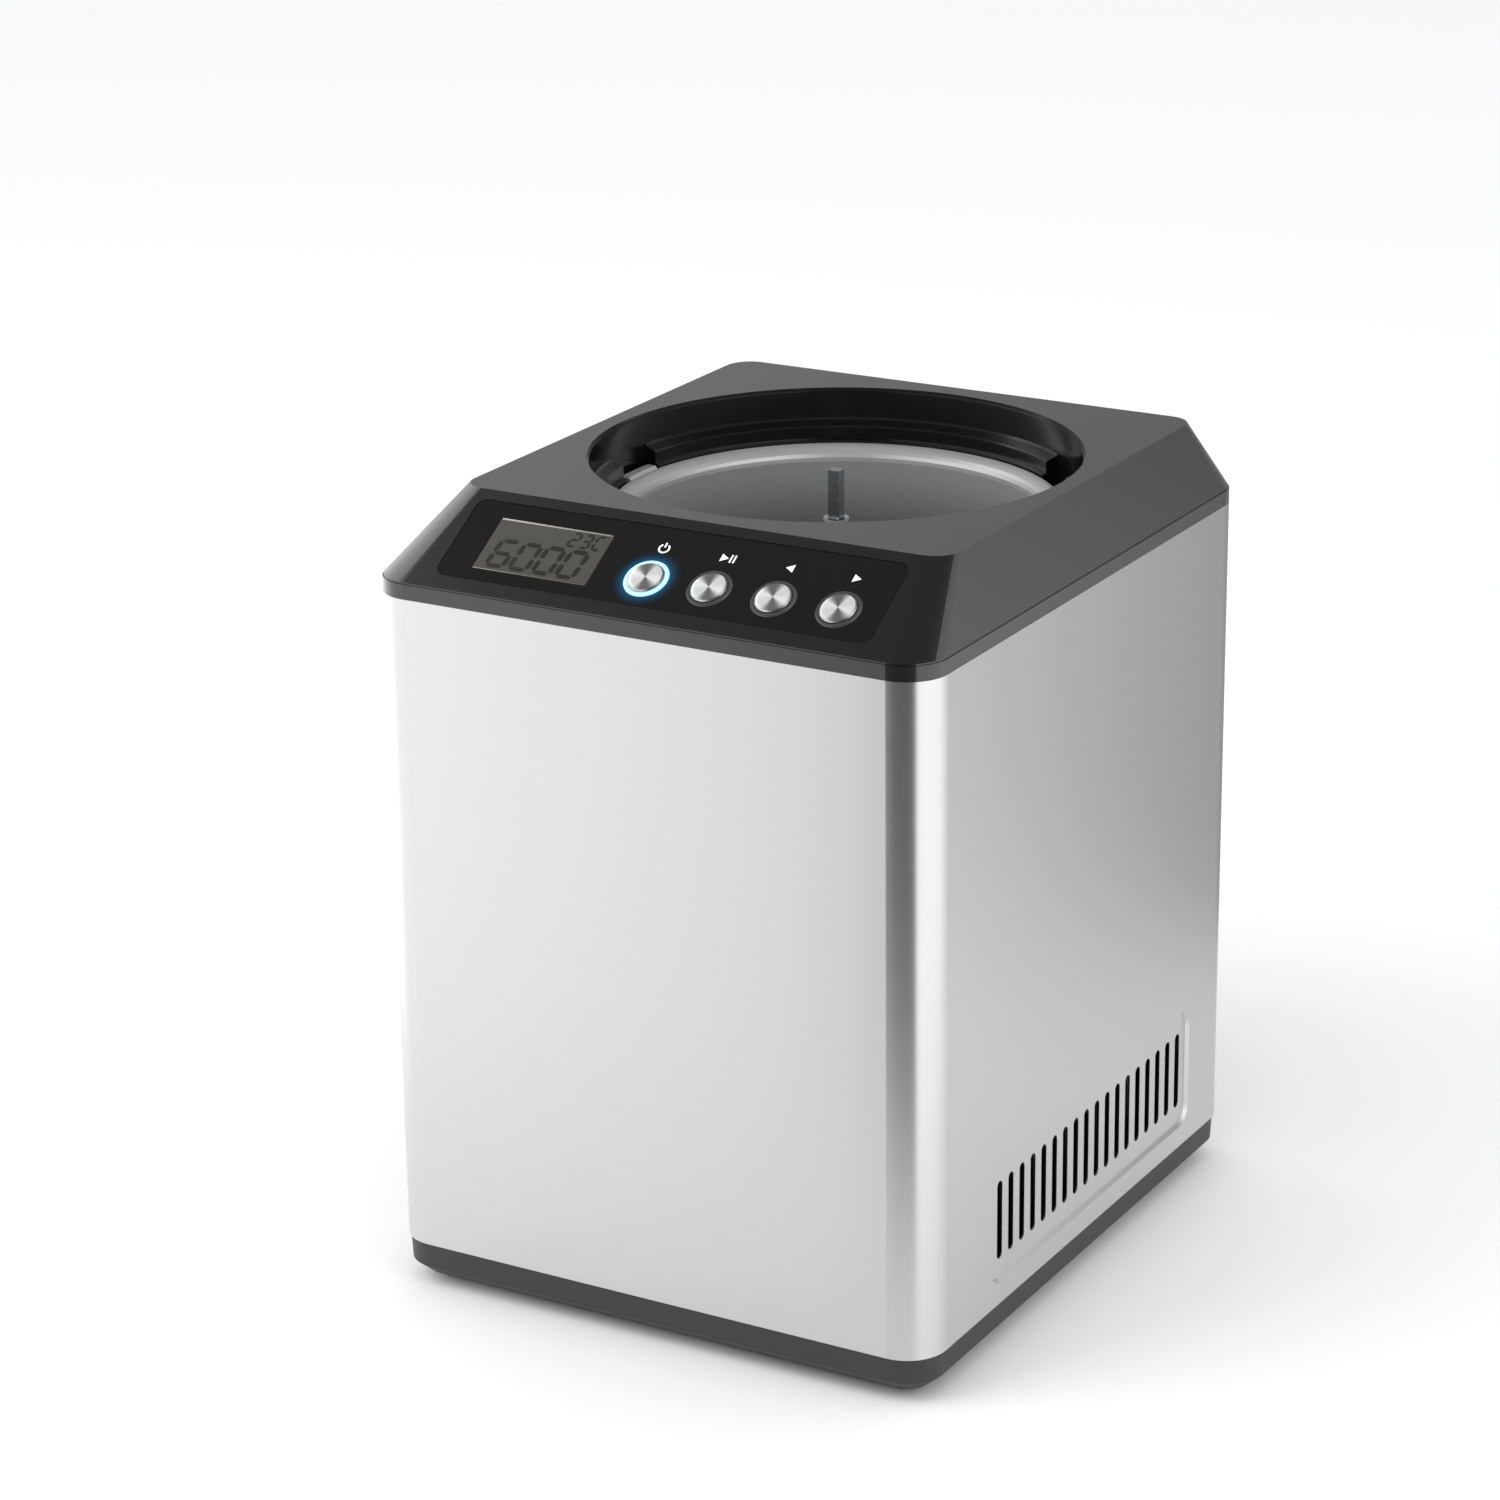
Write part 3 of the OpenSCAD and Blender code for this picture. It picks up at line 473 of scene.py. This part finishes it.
class YOGURT_OT_display(bpy.types.Operator):
    """Display with its digits, and light metal strips on the top and bottom edges of its window as painted
    highlights
    """

    bl_idname = "yogurt.display"
    bl_label = "Display"

    def write(self, mesh, text, left, bottom, width, height, pitch, stroke):
        """Seven-segment digits, lying in the slope's plane."""
        half = height / 2
        spots = {"a": (width / 2, height, 0), "g": (width / 2, half, 0), "d": (width / 2, 0, 0),
                 "f": (0, height * 0.75, 1), "b": (width, height * 0.75, 1),
                 "e": (0, height * 0.25, 1), "c": (width, height * 0.25, 1)}
        for index, digit in enumerate(text):
            for name in SEGMENTS[digit]:
                x, y, upright = spots[name]
                length = (half if upright else width) - stroke * 0.45
                place = Matrix.Translation((left + index * pitch + x + y * DIGIT_LEAN, bottom + y, 0))
                place = place @ Matrix.Rotation(math.pi / 2 * upright - DIGIT_LEAN * upright, 4, "Z")
                bar(mesh, length, stroke, place, stroke * 0.42)

    def execute(self, context):
        look = context.scene.yogurt_panel
        wear(["display_window"], display_glass(look))
        wear(["display_module"], moulded_plastic("display_body_abs", linear("#2b2a28"), 0.5))
        corner, high = slope_box("display_window")
        width, depth = high.x - corner.x, high.y - corner.y
        top = high.z
        digits = bmesh.new()
        self.write(digits, look.timer, left=corner.x + 5.5 * MM, bottom=corner.y + 3.2 * MM, width=8.4 * MM,
                   height=look.digit_height, pitch=11.8 * MM, stroke=2.4 * MM)
        self.write(digits, look.reading, left=corner.x + width - 19.5 * MM,
                   bottom=corner.y + depth - 9.6 * MM, width=3.8 * MM, height=7.4 * MM, pitch=6.1 * MM,
                   stroke=1.3 * MM)
        bmesh.ops.translate(digits, vec=(0, 0, top), verts=digits.verts)
        thicken(digits, 0.05 * MM, Vector((0, 0, 1)))
        bmesh.ops.transform(digits, matrix=SLOPE, verts=digits.verts)
        ink = coated("liquid_crystal_ink", "#1d1c1a", "#262522", 0.3, 2.0, 0.05)
        piece("display_digits", digits, ink)
        # The window's edges are bevelled; their light metal finish, on the top and bottom edges only, is a
        # painted highlight
        edges = bmesh.new()
        inset, rise, lean = 0.5 * MM, 0.14 * MM, 0.35
        strip = Matrix.Diagonal((width - 2 * inset, 0.8 * MM, 0.25 * MM, 1))
        for y, side in ((corner.y + depth - inset, 1), (corner.y + inset, -1)):
            place = Matrix.Translation((corner.x + width / 2, y, top + rise))
            place = place @ Matrix.Rotation(lean * side, 4, "X")
            bmesh.ops.create_cube(edges, size=1.0, matrix=place @ strip)
        bmesh.ops.bevel(edges, geom=list(edges.edges), offset=0.05 * MM, segments=2, profile=0.5,
                        affect="EDGES", material=-1)
        bmesh.ops.transform(edges, matrix=SLOPE, verts=edges.verts)
        piece("display_window_edge_highlights", edges, plain_metal("window_edge_painted_highlight", "#8f8c87", "#b5b2ad", 0.25))
        return {"FINISHED"}


class YOGURT_OT_controls(bpy.types.Operator):
    """Overlay, printed symbols, bezels and the spun faces of the buttons"""

    bl_idname = "yogurt.controls"
    bl_label = "Controls"

    def symbol(self, mesh, index, place):
        """One white symbol, about 5 mm across: power, start and pause, back, or forward."""
        upright = Matrix.Rotation(math.pi / 2, 4, "Z")
        line = 0.75 * MM
        if index == 0:
            gap = 0.62  # half the ring's opening, in radians
            verts = [mesh.verts.new((r * MM * math.sin(gap), r * MM * math.cos(gap), 0))
                     for r in (1.95, 2.75)]
            edge = mesh.edges.new(verts)
            bmesh.ops.spin(mesh, geom=verts + [edge], cent=(0, 0, 0), axis=(0, 0, 1),
                           angle=-(math.tau - 2 * gap), steps=32)
            bar(mesh, 2.6 * MM, line, Matrix.Translation((0, 1.9 * MM, 0)) @ upright)
        else:
            shift = -1.7 * MM if index == 1 else 0
            turn = math.pi / 2 if index == 2 else -math.pi / 2
            bmesh.ops.create_circle(mesh, cap_ends=True, segments=3, radius=2.5 * MM,
                                    matrix=Matrix.Translation((shift, 0, 0)) @ Matrix.Rotation(turn, 4, "Z"))
        for x in (1.9, 3.6) if index == 1 else ():
            bar(mesh, 4.4 * MM, line, Matrix.Translation((x * MM, 0, 0)) @ upright)
        bmesh.ops.transform(mesh, matrix=place, verts=mesh.verts)

    def face(self, node, metal):
        """The spun disc on a button, with a UV map that runs round it."""
        centre = slope_middle(node)
        disc = bmesh.new()
        outline = ((0, 0.12), (2, 0.12), (4, 0.12), (5.8, 0.12), (7.3, 0.12), (7.5, 0.02), (7.5, -0.1))
        turned(disc, [(radius * MM, height * MM) for radius, height in outline])
        layer = disc.loops.layers.uv.new("turning")
        for face in disc.faces:
            mid = face.calc_center_median()
            base = math.atan2(mid.y, mid.x)
            for loop in face.loops:
                co = loop.vert.co
                radius = math.hypot(co.x, co.y)
                lean = math.atan2(co.y, co.x) - base if radius > 1e-6 else 0.0
                lean = (lean + math.pi) % math.tau - math.pi
                loop[layer].uv = ((base + lean) / math.tau + 0.5, radius * 100)
        place = Matrix.Translation((centre.x, centre.y, slope_box(node)[1].z))
        bmesh.ops.transform(disc, matrix=SLOPE @ place, verts=disc.verts)
        piece(node + "_face", disc, metal, node)

    def execute(self, context):
        look = context.scene.yogurt_panel
        lamp = middle("power_light_ring")
        wear(["control_overlay"], gloss_overlay(look, lamp))
        wear(["power_light_ring"], lamp_plastic(look))
        wear(["button_bezels"], moulded_plastic("polished_bezel", linear("#3a3a3a"), 0.2, 1.0, 0.05))
        wear(BUTTONS, plain_metal("turned_button_rim", "#9c9c9c", "#dadada", 0.28))
        ease_edges(["control_overlay"], 0.25 * MM, 35)
        ease_edges(["button_bezels", "power_light_ring"], 0.2 * MM, 35)
        # Spun by a point tool from the centre out: its rings throw a bow-tie of light
        metal, tree, shader = finish_material("spun_button_face_painted_bow_tie", linear("#f4f4f4"), Metallic=0.55,
                                              Roughness=0.3, Anisotropic=1.0)
        across = add(tree, "ShaderNodeUVMap", uv_map="turning")
        spread = add(tree, "ShaderNodeMapping", [("Vector", across, 0)], Scale=(1, 26, 1))
        rings = add(tree, "ShaderNodeTexNoise", [("Vector", spread, 0)], Scale=1.0, Detail=3.0)
        vary_roughness(tree, shader, rings, 0.25, 0.4)
        # The bow tie itself is painted into the base colour: two bright fans of painted highlight with a
        # narrow dark wedge of painted shade between them
        bright = math.radians(22)
        split = add(tree, "ShaderNodeSeparateXYZ", [("Vector", across, 0)])
        twice = add(tree, "ShaderNodeMath", [(0, split, "X")], operation="MULTIPLY_ADD")
        twice.inputs[1].default_value = 2 * math.tau
        twice.inputs[2].default_value = -2 * bright
        wave = add(tree, "ShaderNodeMath", [(0, twice, 0)], operation="COSINE")
        painted_bow_tie = add(tree, "ShaderNodeMapRange", [("Value", wave, 0)], interpolation_type="SMOOTHSTEP",
                      From_Min=-1.0, From_Max=0.3)
        vary_colour(tree, shader, painted_bow_tie, linear("#707070"), linear("#fafafa"))
        turn = add(tree, "ShaderNodeTangent", direction_type="UV_MAP", uv_map="turning")
        tree.links.new(turn.outputs[0], shader.inputs["Tangent"])
        for node in BUTTONS:
            self.face(node, metal)
        prints = bmesh.new()
        height = slope_box("control_overlay")[1].z
        row = slope_middle(BUTTONS[0]).y + 17.8 * MM
        for index, node in enumerate(BUTTONS):
            one = bmesh.new()
            self.symbol(one, index, Matrix.Translation((slope_middle(node).x, row, height)))
            join(prints, one)
        thicken(prints, 0.04 * MM, Vector((0, 0, 1)))
        bmesh.ops.transform(prints, matrix=SLOPE, verts=prints.verts)
        ink = coated("white_screen_print_painted_glow", "#e2e2e2", "#ffffff", 0.5, 0.5, 0.05)
        # A faint glow in the symbols' colour, though no lamp lights them from behind: painted light
        shader = ink.node_tree.nodes["Principled BSDF"]
        shader.inputs["Emission Color"].default_value = look.prints
        shader.inputs["Emission Strength"].default_value = 0.25
        piece("overlay_symbols", prints, ink)
        return {"FINISHED"}


class YOGURT_OT_bowl(bpy.types.Operator):
    """Finishes of the bowl, its chamber and the drive that stands in it"""

    bl_idname = "yogurt.bowl"
    bl_label = "Bowl"

    def execute(self, context):
        look = context.scene.yogurt_bowl
        axis = (BOWL_AXIS.x, BOWL_AXIS.y, 0)
        low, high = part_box("bowl")
        # Painted shade in the bowl from 4 mm to 60 mm below its top, and in the tub over its whole height
        wear(["bowl"], spun_aluminium("spun_aluminium_bowl", look.metal, axis, look.roughness,
                                      high.z - 60 * MM, high.z - 4 * MM))
        wear(["cooling_tub"],
             spun_aluminium("spun_aluminium_tub", linear("#a9abad"), axis, 0.42, low.z, high.z))
        wear(["drive_shaft", "motor_shaft", "shaft_bearings"],
             plain_metal("ground_steel", "#8e9093", "#c9cbcd", 0.22))
        wear(["drive_pulley", "motor_pulley"],
             moulded_plastic("glass_filled_nylon", linear("#262626"), 0.55, 0.5, 0.4))
        wear(["bearing_housing"], plain_metal("die_cast_zinc", "#5e6062", "#85878a", 0.5, 1.0))
        ease_edges(["drive_shaft"], 0.25 * MM, 40)
        return {"FINISHED"}


class YOGURT_OT_fixings(bpy.types.Operator):
    """Cross-recessed screws on the rear cover and under the feet"""

    bl_idname = "yogurt.fixings"
    bl_label = "Fixings"

    def screw(self, mesh, centre, outwards, radius, length):
        """A pan head with a cross recess, and its shank."""
        head = bmesh.new()
        bmesh.ops.create_grid(head, x_segments=5, y_segments=5, size=radius)
        steps = sorted({round(v.co.x, 7) for v in head.verts})
        lines = [-radius, -0.62 * radius, -0.16 * radius, 0.16 * radius, 0.62 * radius, radius]
        moved = dict(zip(steps, lines))
        for vert in head.verts:
            x, y = moved[round(vert.co.x, 7)], moved[round(vert.co.y, 7)]
            reach = max(abs(x), abs(y))
            if reach > 0.9 * radius:
                scale = radius / math.hypot(x, y)
                x, y = x * scale, y * scale
            vert.co = (x, y, 0 if reach > 0.9 * radius else 0.16 * radius)
        arms = [f for f in head.faces if min(abs(f.calc_center_median().x), abs(f.calc_center_median().y))
                < 0.1 * radius and f.calc_center_median().length < 0.5 * radius]
        sunk = bmesh.ops.extrude_face_region(head, geom=arms)["geom"]
        bmesh.ops.translate(head, vec=(0, 0, -0.42 * radius), verts=verts_of(sunk))
        bmesh.ops.delete(head, geom=arms, context="FACES")
        rim = [e for e in head.edges if e.is_boundary]
        skirt = bmesh.ops.extrude_edge_only(head, edges=rim)["geom"]
        bmesh.ops.translate(head, vec=(0, 0, -0.3 * radius), verts=verts_of(skirt))
        bmesh.ops.create_cone(head, cap_ends=True, segments=24, radius1=0.45 * radius, radius2=0.45 * radius,
                              depth=length, matrix=Matrix.Translation((0, 0, -0.5 * length - 0.44 * radius)))
        turn = outwards.to_track_quat("Z", "Y").to_matrix().to_4x4()
        bmesh.ops.transform(head, matrix=Matrix.Translation(centre) @ turn, verts=head.verts)
        join(mesh, head)

    def execute(self, context):
        zinc = plain_metal("zinc_plated_steel", "#85888a", "#bfc2c4", 0.3, 1.5)
        wear(["tie_rods", "compressor_bolts", "rear_screws", "foot_screws"], zinc)
        low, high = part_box("rear_screws")
        edge = 3.3 * MM
        middle_row = 170 * MM
        rear = bmesh.new()
        for x in (low.x + edge, high.x - edge):
            for z in (low.z + edge, middle_row, high.z - edge):
                self.screw(rear, Vector((x, high.y - 0.5 * MM, z)), Vector((0, 1, 0)), edge, 5 * MM)
        made = piece("rear_screw_set", rear, zinc)
        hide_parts("rear_screws")
        low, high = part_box("foot_screws")
        edge = 3.5 * MM
        under = bmesh.new()
        for x in (low.x + edge, high.x - edge):
            for y in (low.y + edge, high.y - edge):
                self.screw(under, Vector((x, y, low.z + 0.6 * MM)), Vector((0, 0, -1)), edge, 9 * MM)
        made = piece("foot_screw_set", under, zinc)
        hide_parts("foot_screws")
        return {"FINISHED"}


class YOGURT_OT_inside(bpy.types.Operator):
    """Finishes of the cooling circuit, the motor and the boards"""

    bl_idname = "yogurt.inside"
    bl_label = "Inside"

    def execute(self, context):
        wear(["evaporator_coil", "condenser_tube", "filter_drier", "discharge_line", "liquid_line",
              "suction_line", "capillary_tube"], plain_metal("drawn_copper", "#8a4f2f", "#c07a50", 0.35, 3.0))
        wear(["motor_windings"], plain_metal("enamelled_winding", "#7c3d16", "#b8692c", 0.4, 0.6))
        wear(["compressor_shell_lower", "compressor_shell_upper", "compressor_bracket"],
             coated("black_enamel", "#0e0e0f", "#1a1a1b", 0.3, 4.0, 0.2))
        # The fins are dark so that the vent slots in front of them read as black: painted shade for the dark
        # inside of the casing
        wear(["condenser_fins"], coated("dark_fin_painted_shade", "#0d0d0d", "#191919", 0.5, 2.0, 0.1))
        wear(["condenser_frame", "motor_brackets", "board_bracket"],
             plain_metal("galvanised_sheet", "#6d7072", "#a3a6a8", 0.42, 6.0))
        wear(["motor_stator", "motor_rotor", "compressor_core"],
             plain_metal("laminated_steel", "#4c4e51", "#777a7d", 0.5))
        wear(["fan_frame", "fan_rotor", "terminal_cover", "tact_switches", "mid_deck"],
             moulded_plastic("black_pbt", linear("#1b1b1b"), 0.5, 0.6, 0.3))
        wear(["tub_insulation"], coated("rigid_foam", "#d6cba9", "#efe6c9", 0.9, 1.2, 0.8))
        wear(["control_board", "power_board"], coated("solder_mask", "#0f3d22", "#1b6038", 0.35, 3.0, 0.1))
        wear(["power_board_parts"], coated("component_epoxy", "#16233a", "#2a4572", 0.45, 1.0, 0.1))
        return {"FINISHED"}


CARD_RADIUS, CARD_HEIGHT, CARD_FOOT = 0.46, 0.8, 0.003
# Degrees round the set, from straight in front and positive to the right, and the brightness there
CARD_LEVELS = ((-180, 0.34), (-115, 0.50), (-98, 1.80), (-66, 1.80), (-56, 1.42), (-38, 1.42), (-3, 1.08),
               (0, 0.12), (45, 0.10), (48, 1.60), (100, 1.50), (112, 1.08), (150, 0.44), (180, 0.34))
BRIGHTEST = 2.0
# Name, side in metres, watts and place of each light
SOFTBOXES = (("key_softbox", 1.6, 26, (-1.3, -1.6, 2.0)), ("side_softbox", 1.2, 7, (2.0, -0.4, 1.5)))


class YOGURT_OT_stage(bpy.types.Operator):
    """Pale floor, soft studio light and the camera"""

    bl_idname = "yogurt.stage"
    bl_label = "Stage"

    def reflector(self):
        """A ring of card that only reflections see: white boards, one black flag and grey walls."""
        ring = bmesh.new()
        bmesh.ops.create_cone(ring, cap_ends=False, segments=180, radius1=CARD_RADIUS, radius2=CARD_RADIUS,
                              depth=CARD_HEIGHT,
                              matrix=Matrix.Translation((0, 0, CARD_FOOT + CARD_HEIGHT / 2)))
        bmesh.ops.reverse_faces(ring, faces=ring.faces)
        data = bpy.data.meshes.new("studio_cards")
        ring.to_mesh(data)
        ring.free()
        cards = bpy.data.objects.new("studio_cards", data)
        bpy.context.scene.collection.objects.link(cards)
        material = bpy.data.materials.new("studio_card")
        material.use_nodes = True
        tree = material.node_tree
        tree.nodes.clear()
        place = add(tree, "ShaderNodeTexCoord")
        split = add(tree, "ShaderNodeSeparateXYZ", [("Vector", place, "Object")])
        forward = add(tree, "ShaderNodeMath", [(0, split, "Y")], operation="MULTIPLY")
        forward.inputs[1].default_value = -1.0
        # 0 is behind on the left, 0.5 straight in front, 1 behind on the right
        angle = add(tree, "ShaderNodeMath", [(0, split, "X"), (1, forward, 0)], operation="ARCTAN2")
        share = add(tree, "ShaderNodeMapRange", [("Value", angle, 0)], From_Min=-math.pi, From_Max=math.pi)
        ramp = add(tree, "ShaderNodeValToRGB", [("Fac", share, 0)])
        while len(ramp.color_ramp.elements) < len(CARD_LEVELS):
            ramp.color_ramp.elements.new(0.5)
        for element, (degrees, level) in zip(ramp.color_ramp.elements, CARD_LEVELS):
            element.position = degrees / 360 + 0.5
            element.color = (level / BRIGHTEST,) * 3 + (1,)
        glow = add(tree, "ShaderNodeEmission", [("Color", ramp, "Color")], Strength=BRIGHTEST)
        add(tree, "ShaderNodeOutputMaterial", [("Surface", glow, 0)])
        data.materials.append(material)
        for ray in ("camera", "diffuse", "transmission", "volume_scatter", "shadow"):
            setattr(cards, "visible_" + ray, False)

    def execute(self, context):
        look = context.scene.yogurt_stage
        scene = context.scene
        floor = bmesh.new()
        drop = 0.2 * MM  # keeps the feet from sharing the floor's plane
        bmesh.ops.create_grid(floor, x_segments=1, y_segments=1, size=8.0,
                              matrix=Matrix.Translation((0, 0, -drop)))
        data = bpy.data.meshes.new("studio_floor")
        floor.to_mesh(data)
        floor.free()
        ground = bpy.data.objects.new("studio_floor", data)
        scene.collection.objects.link(ground)
        material, tree, shader = finish_material("matt_white_floor", look.floor, Roughness=0.9,
                                                 Specular_IOR_Level=0.1)
        # From below the floor is clear, so that the underside can be seen
        side = add(tree, "ShaderNodeNewGeometry")
        clear = add(tree, "ShaderNodeBsdfTransparent")
        sheet = add(tree, "ShaderNodeMixShader", [(0, side, "Backfacing"), (1, shader, 0), (2, clear, 0)])
        tree.links.new(sheet.outputs[0], tree.nodes["Material Output"].inputs["Surface"])
        data.materials.append(material)
        self.reflector()
        world = bpy.data.worlds.new("studio_world")
        world.use_nodes = True
        scene.world = world
        tree = world.node_tree
        back = tree.nodes["Background"]
        back.inputs["Color"].default_value = (1, 1, 1, 1)
        rays = add(tree, "ShaderNodeLightPath")
        level = add(tree, "ShaderNodeMapRange", [("Value", rays, "Is Glossy Ray")], To_Min=1.0,
                    To_Max=look.overhead)
        tree.links.new(level.outputs[0], back.inputs["Strength"])
        for name, size, power, place in SOFTBOXES:
            light = bpy.data.lights.new(name, "AREA")
            light.size = size
            light.energy = power
            lamp = bpy.data.objects.new(name, light)
            lamp.location = place
            lamp.rotation_euler = (Vector((0, 0, 0.2)) - Vector(place)).to_track_quat("-Z", "Y").to_euler()
            lamp.visible_glossy = False
            scene.collection.objects.link(lamp)
        camera_data = bpy.data.cameras.new("camera")
        camera_data.sensor_width = 36
        camera_data.lens = look.lens
        camera = bpy.data.objects.new("camera", camera_data)
        camera.matrix_world = (Matrix.Translation(look.place) @ Matrix.Rotation(look.turn, 4, "Z")
                               @ Matrix.Rotation(math.pi / 2 - look.tilt, 4, "X")
                               @ Matrix.Rotation(-look.roll, 4, "Z"))
        scene.collection.objects.link(camera)
        scene.camera = camera
        scene.view_settings.view_transform = "Standard"
        return {"FINISHED"}


class YOGURT_PT_looks(bpy.types.Panel):
    """The settings and the steps, in order"""

    bl_idname = "YOGURT_PT_looks"
    bl_label = "Yogurt Maker"
    bl_space_type = "VIEW_3D"
    bl_region_type = "UI"
    bl_category = "Yogurt Maker"

    def draw(self, context):
        for name in SETTINGS:
            group = getattr(context.scene, name)
            box = self.layout.box()
            for key in group.__annotations__:
                box.prop(group, key)
        for operator in OPERATORS:
            self.layout.operator(operator.bl_idname)


OPERATORS = (YOGURT_OT_stage, YOGURT_OT_casing, YOGURT_OT_bowl, YOGURT_OT_display, YOGURT_OT_controls,
             YOGURT_OT_fixings, YOGURT_OT_inside)
SETTINGS = {"yogurt_casing": CasingLook, "yogurt_panel": PanelLook, "yogurt_bowl": BowlLook,
            "yogurt_stage": StageLook}


def register():
    for group in (*SETTINGS.values(), *OPERATORS, YOGURT_PT_looks):
        bpy.utils.register_class(group)
    for name, group in SETTINGS.items():
        setattr(bpy.types.Scene, name, bpy.props.PointerProperty(type=group))


def unregister():
    for name in SETTINGS:
        delattr(bpy.types.Scene, name)
    for group in reversed((*SETTINGS.values(), *OPERATORS, YOGURT_PT_looks)):
        bpy.utils.unregister_class(group)


def main():
    register()
    for operator in OPERATORS:
        module, name = operator.bl_idname.split(".")
        getattr(getattr(bpy.ops, module), name)()


if __name__ == "__main__":
    main()
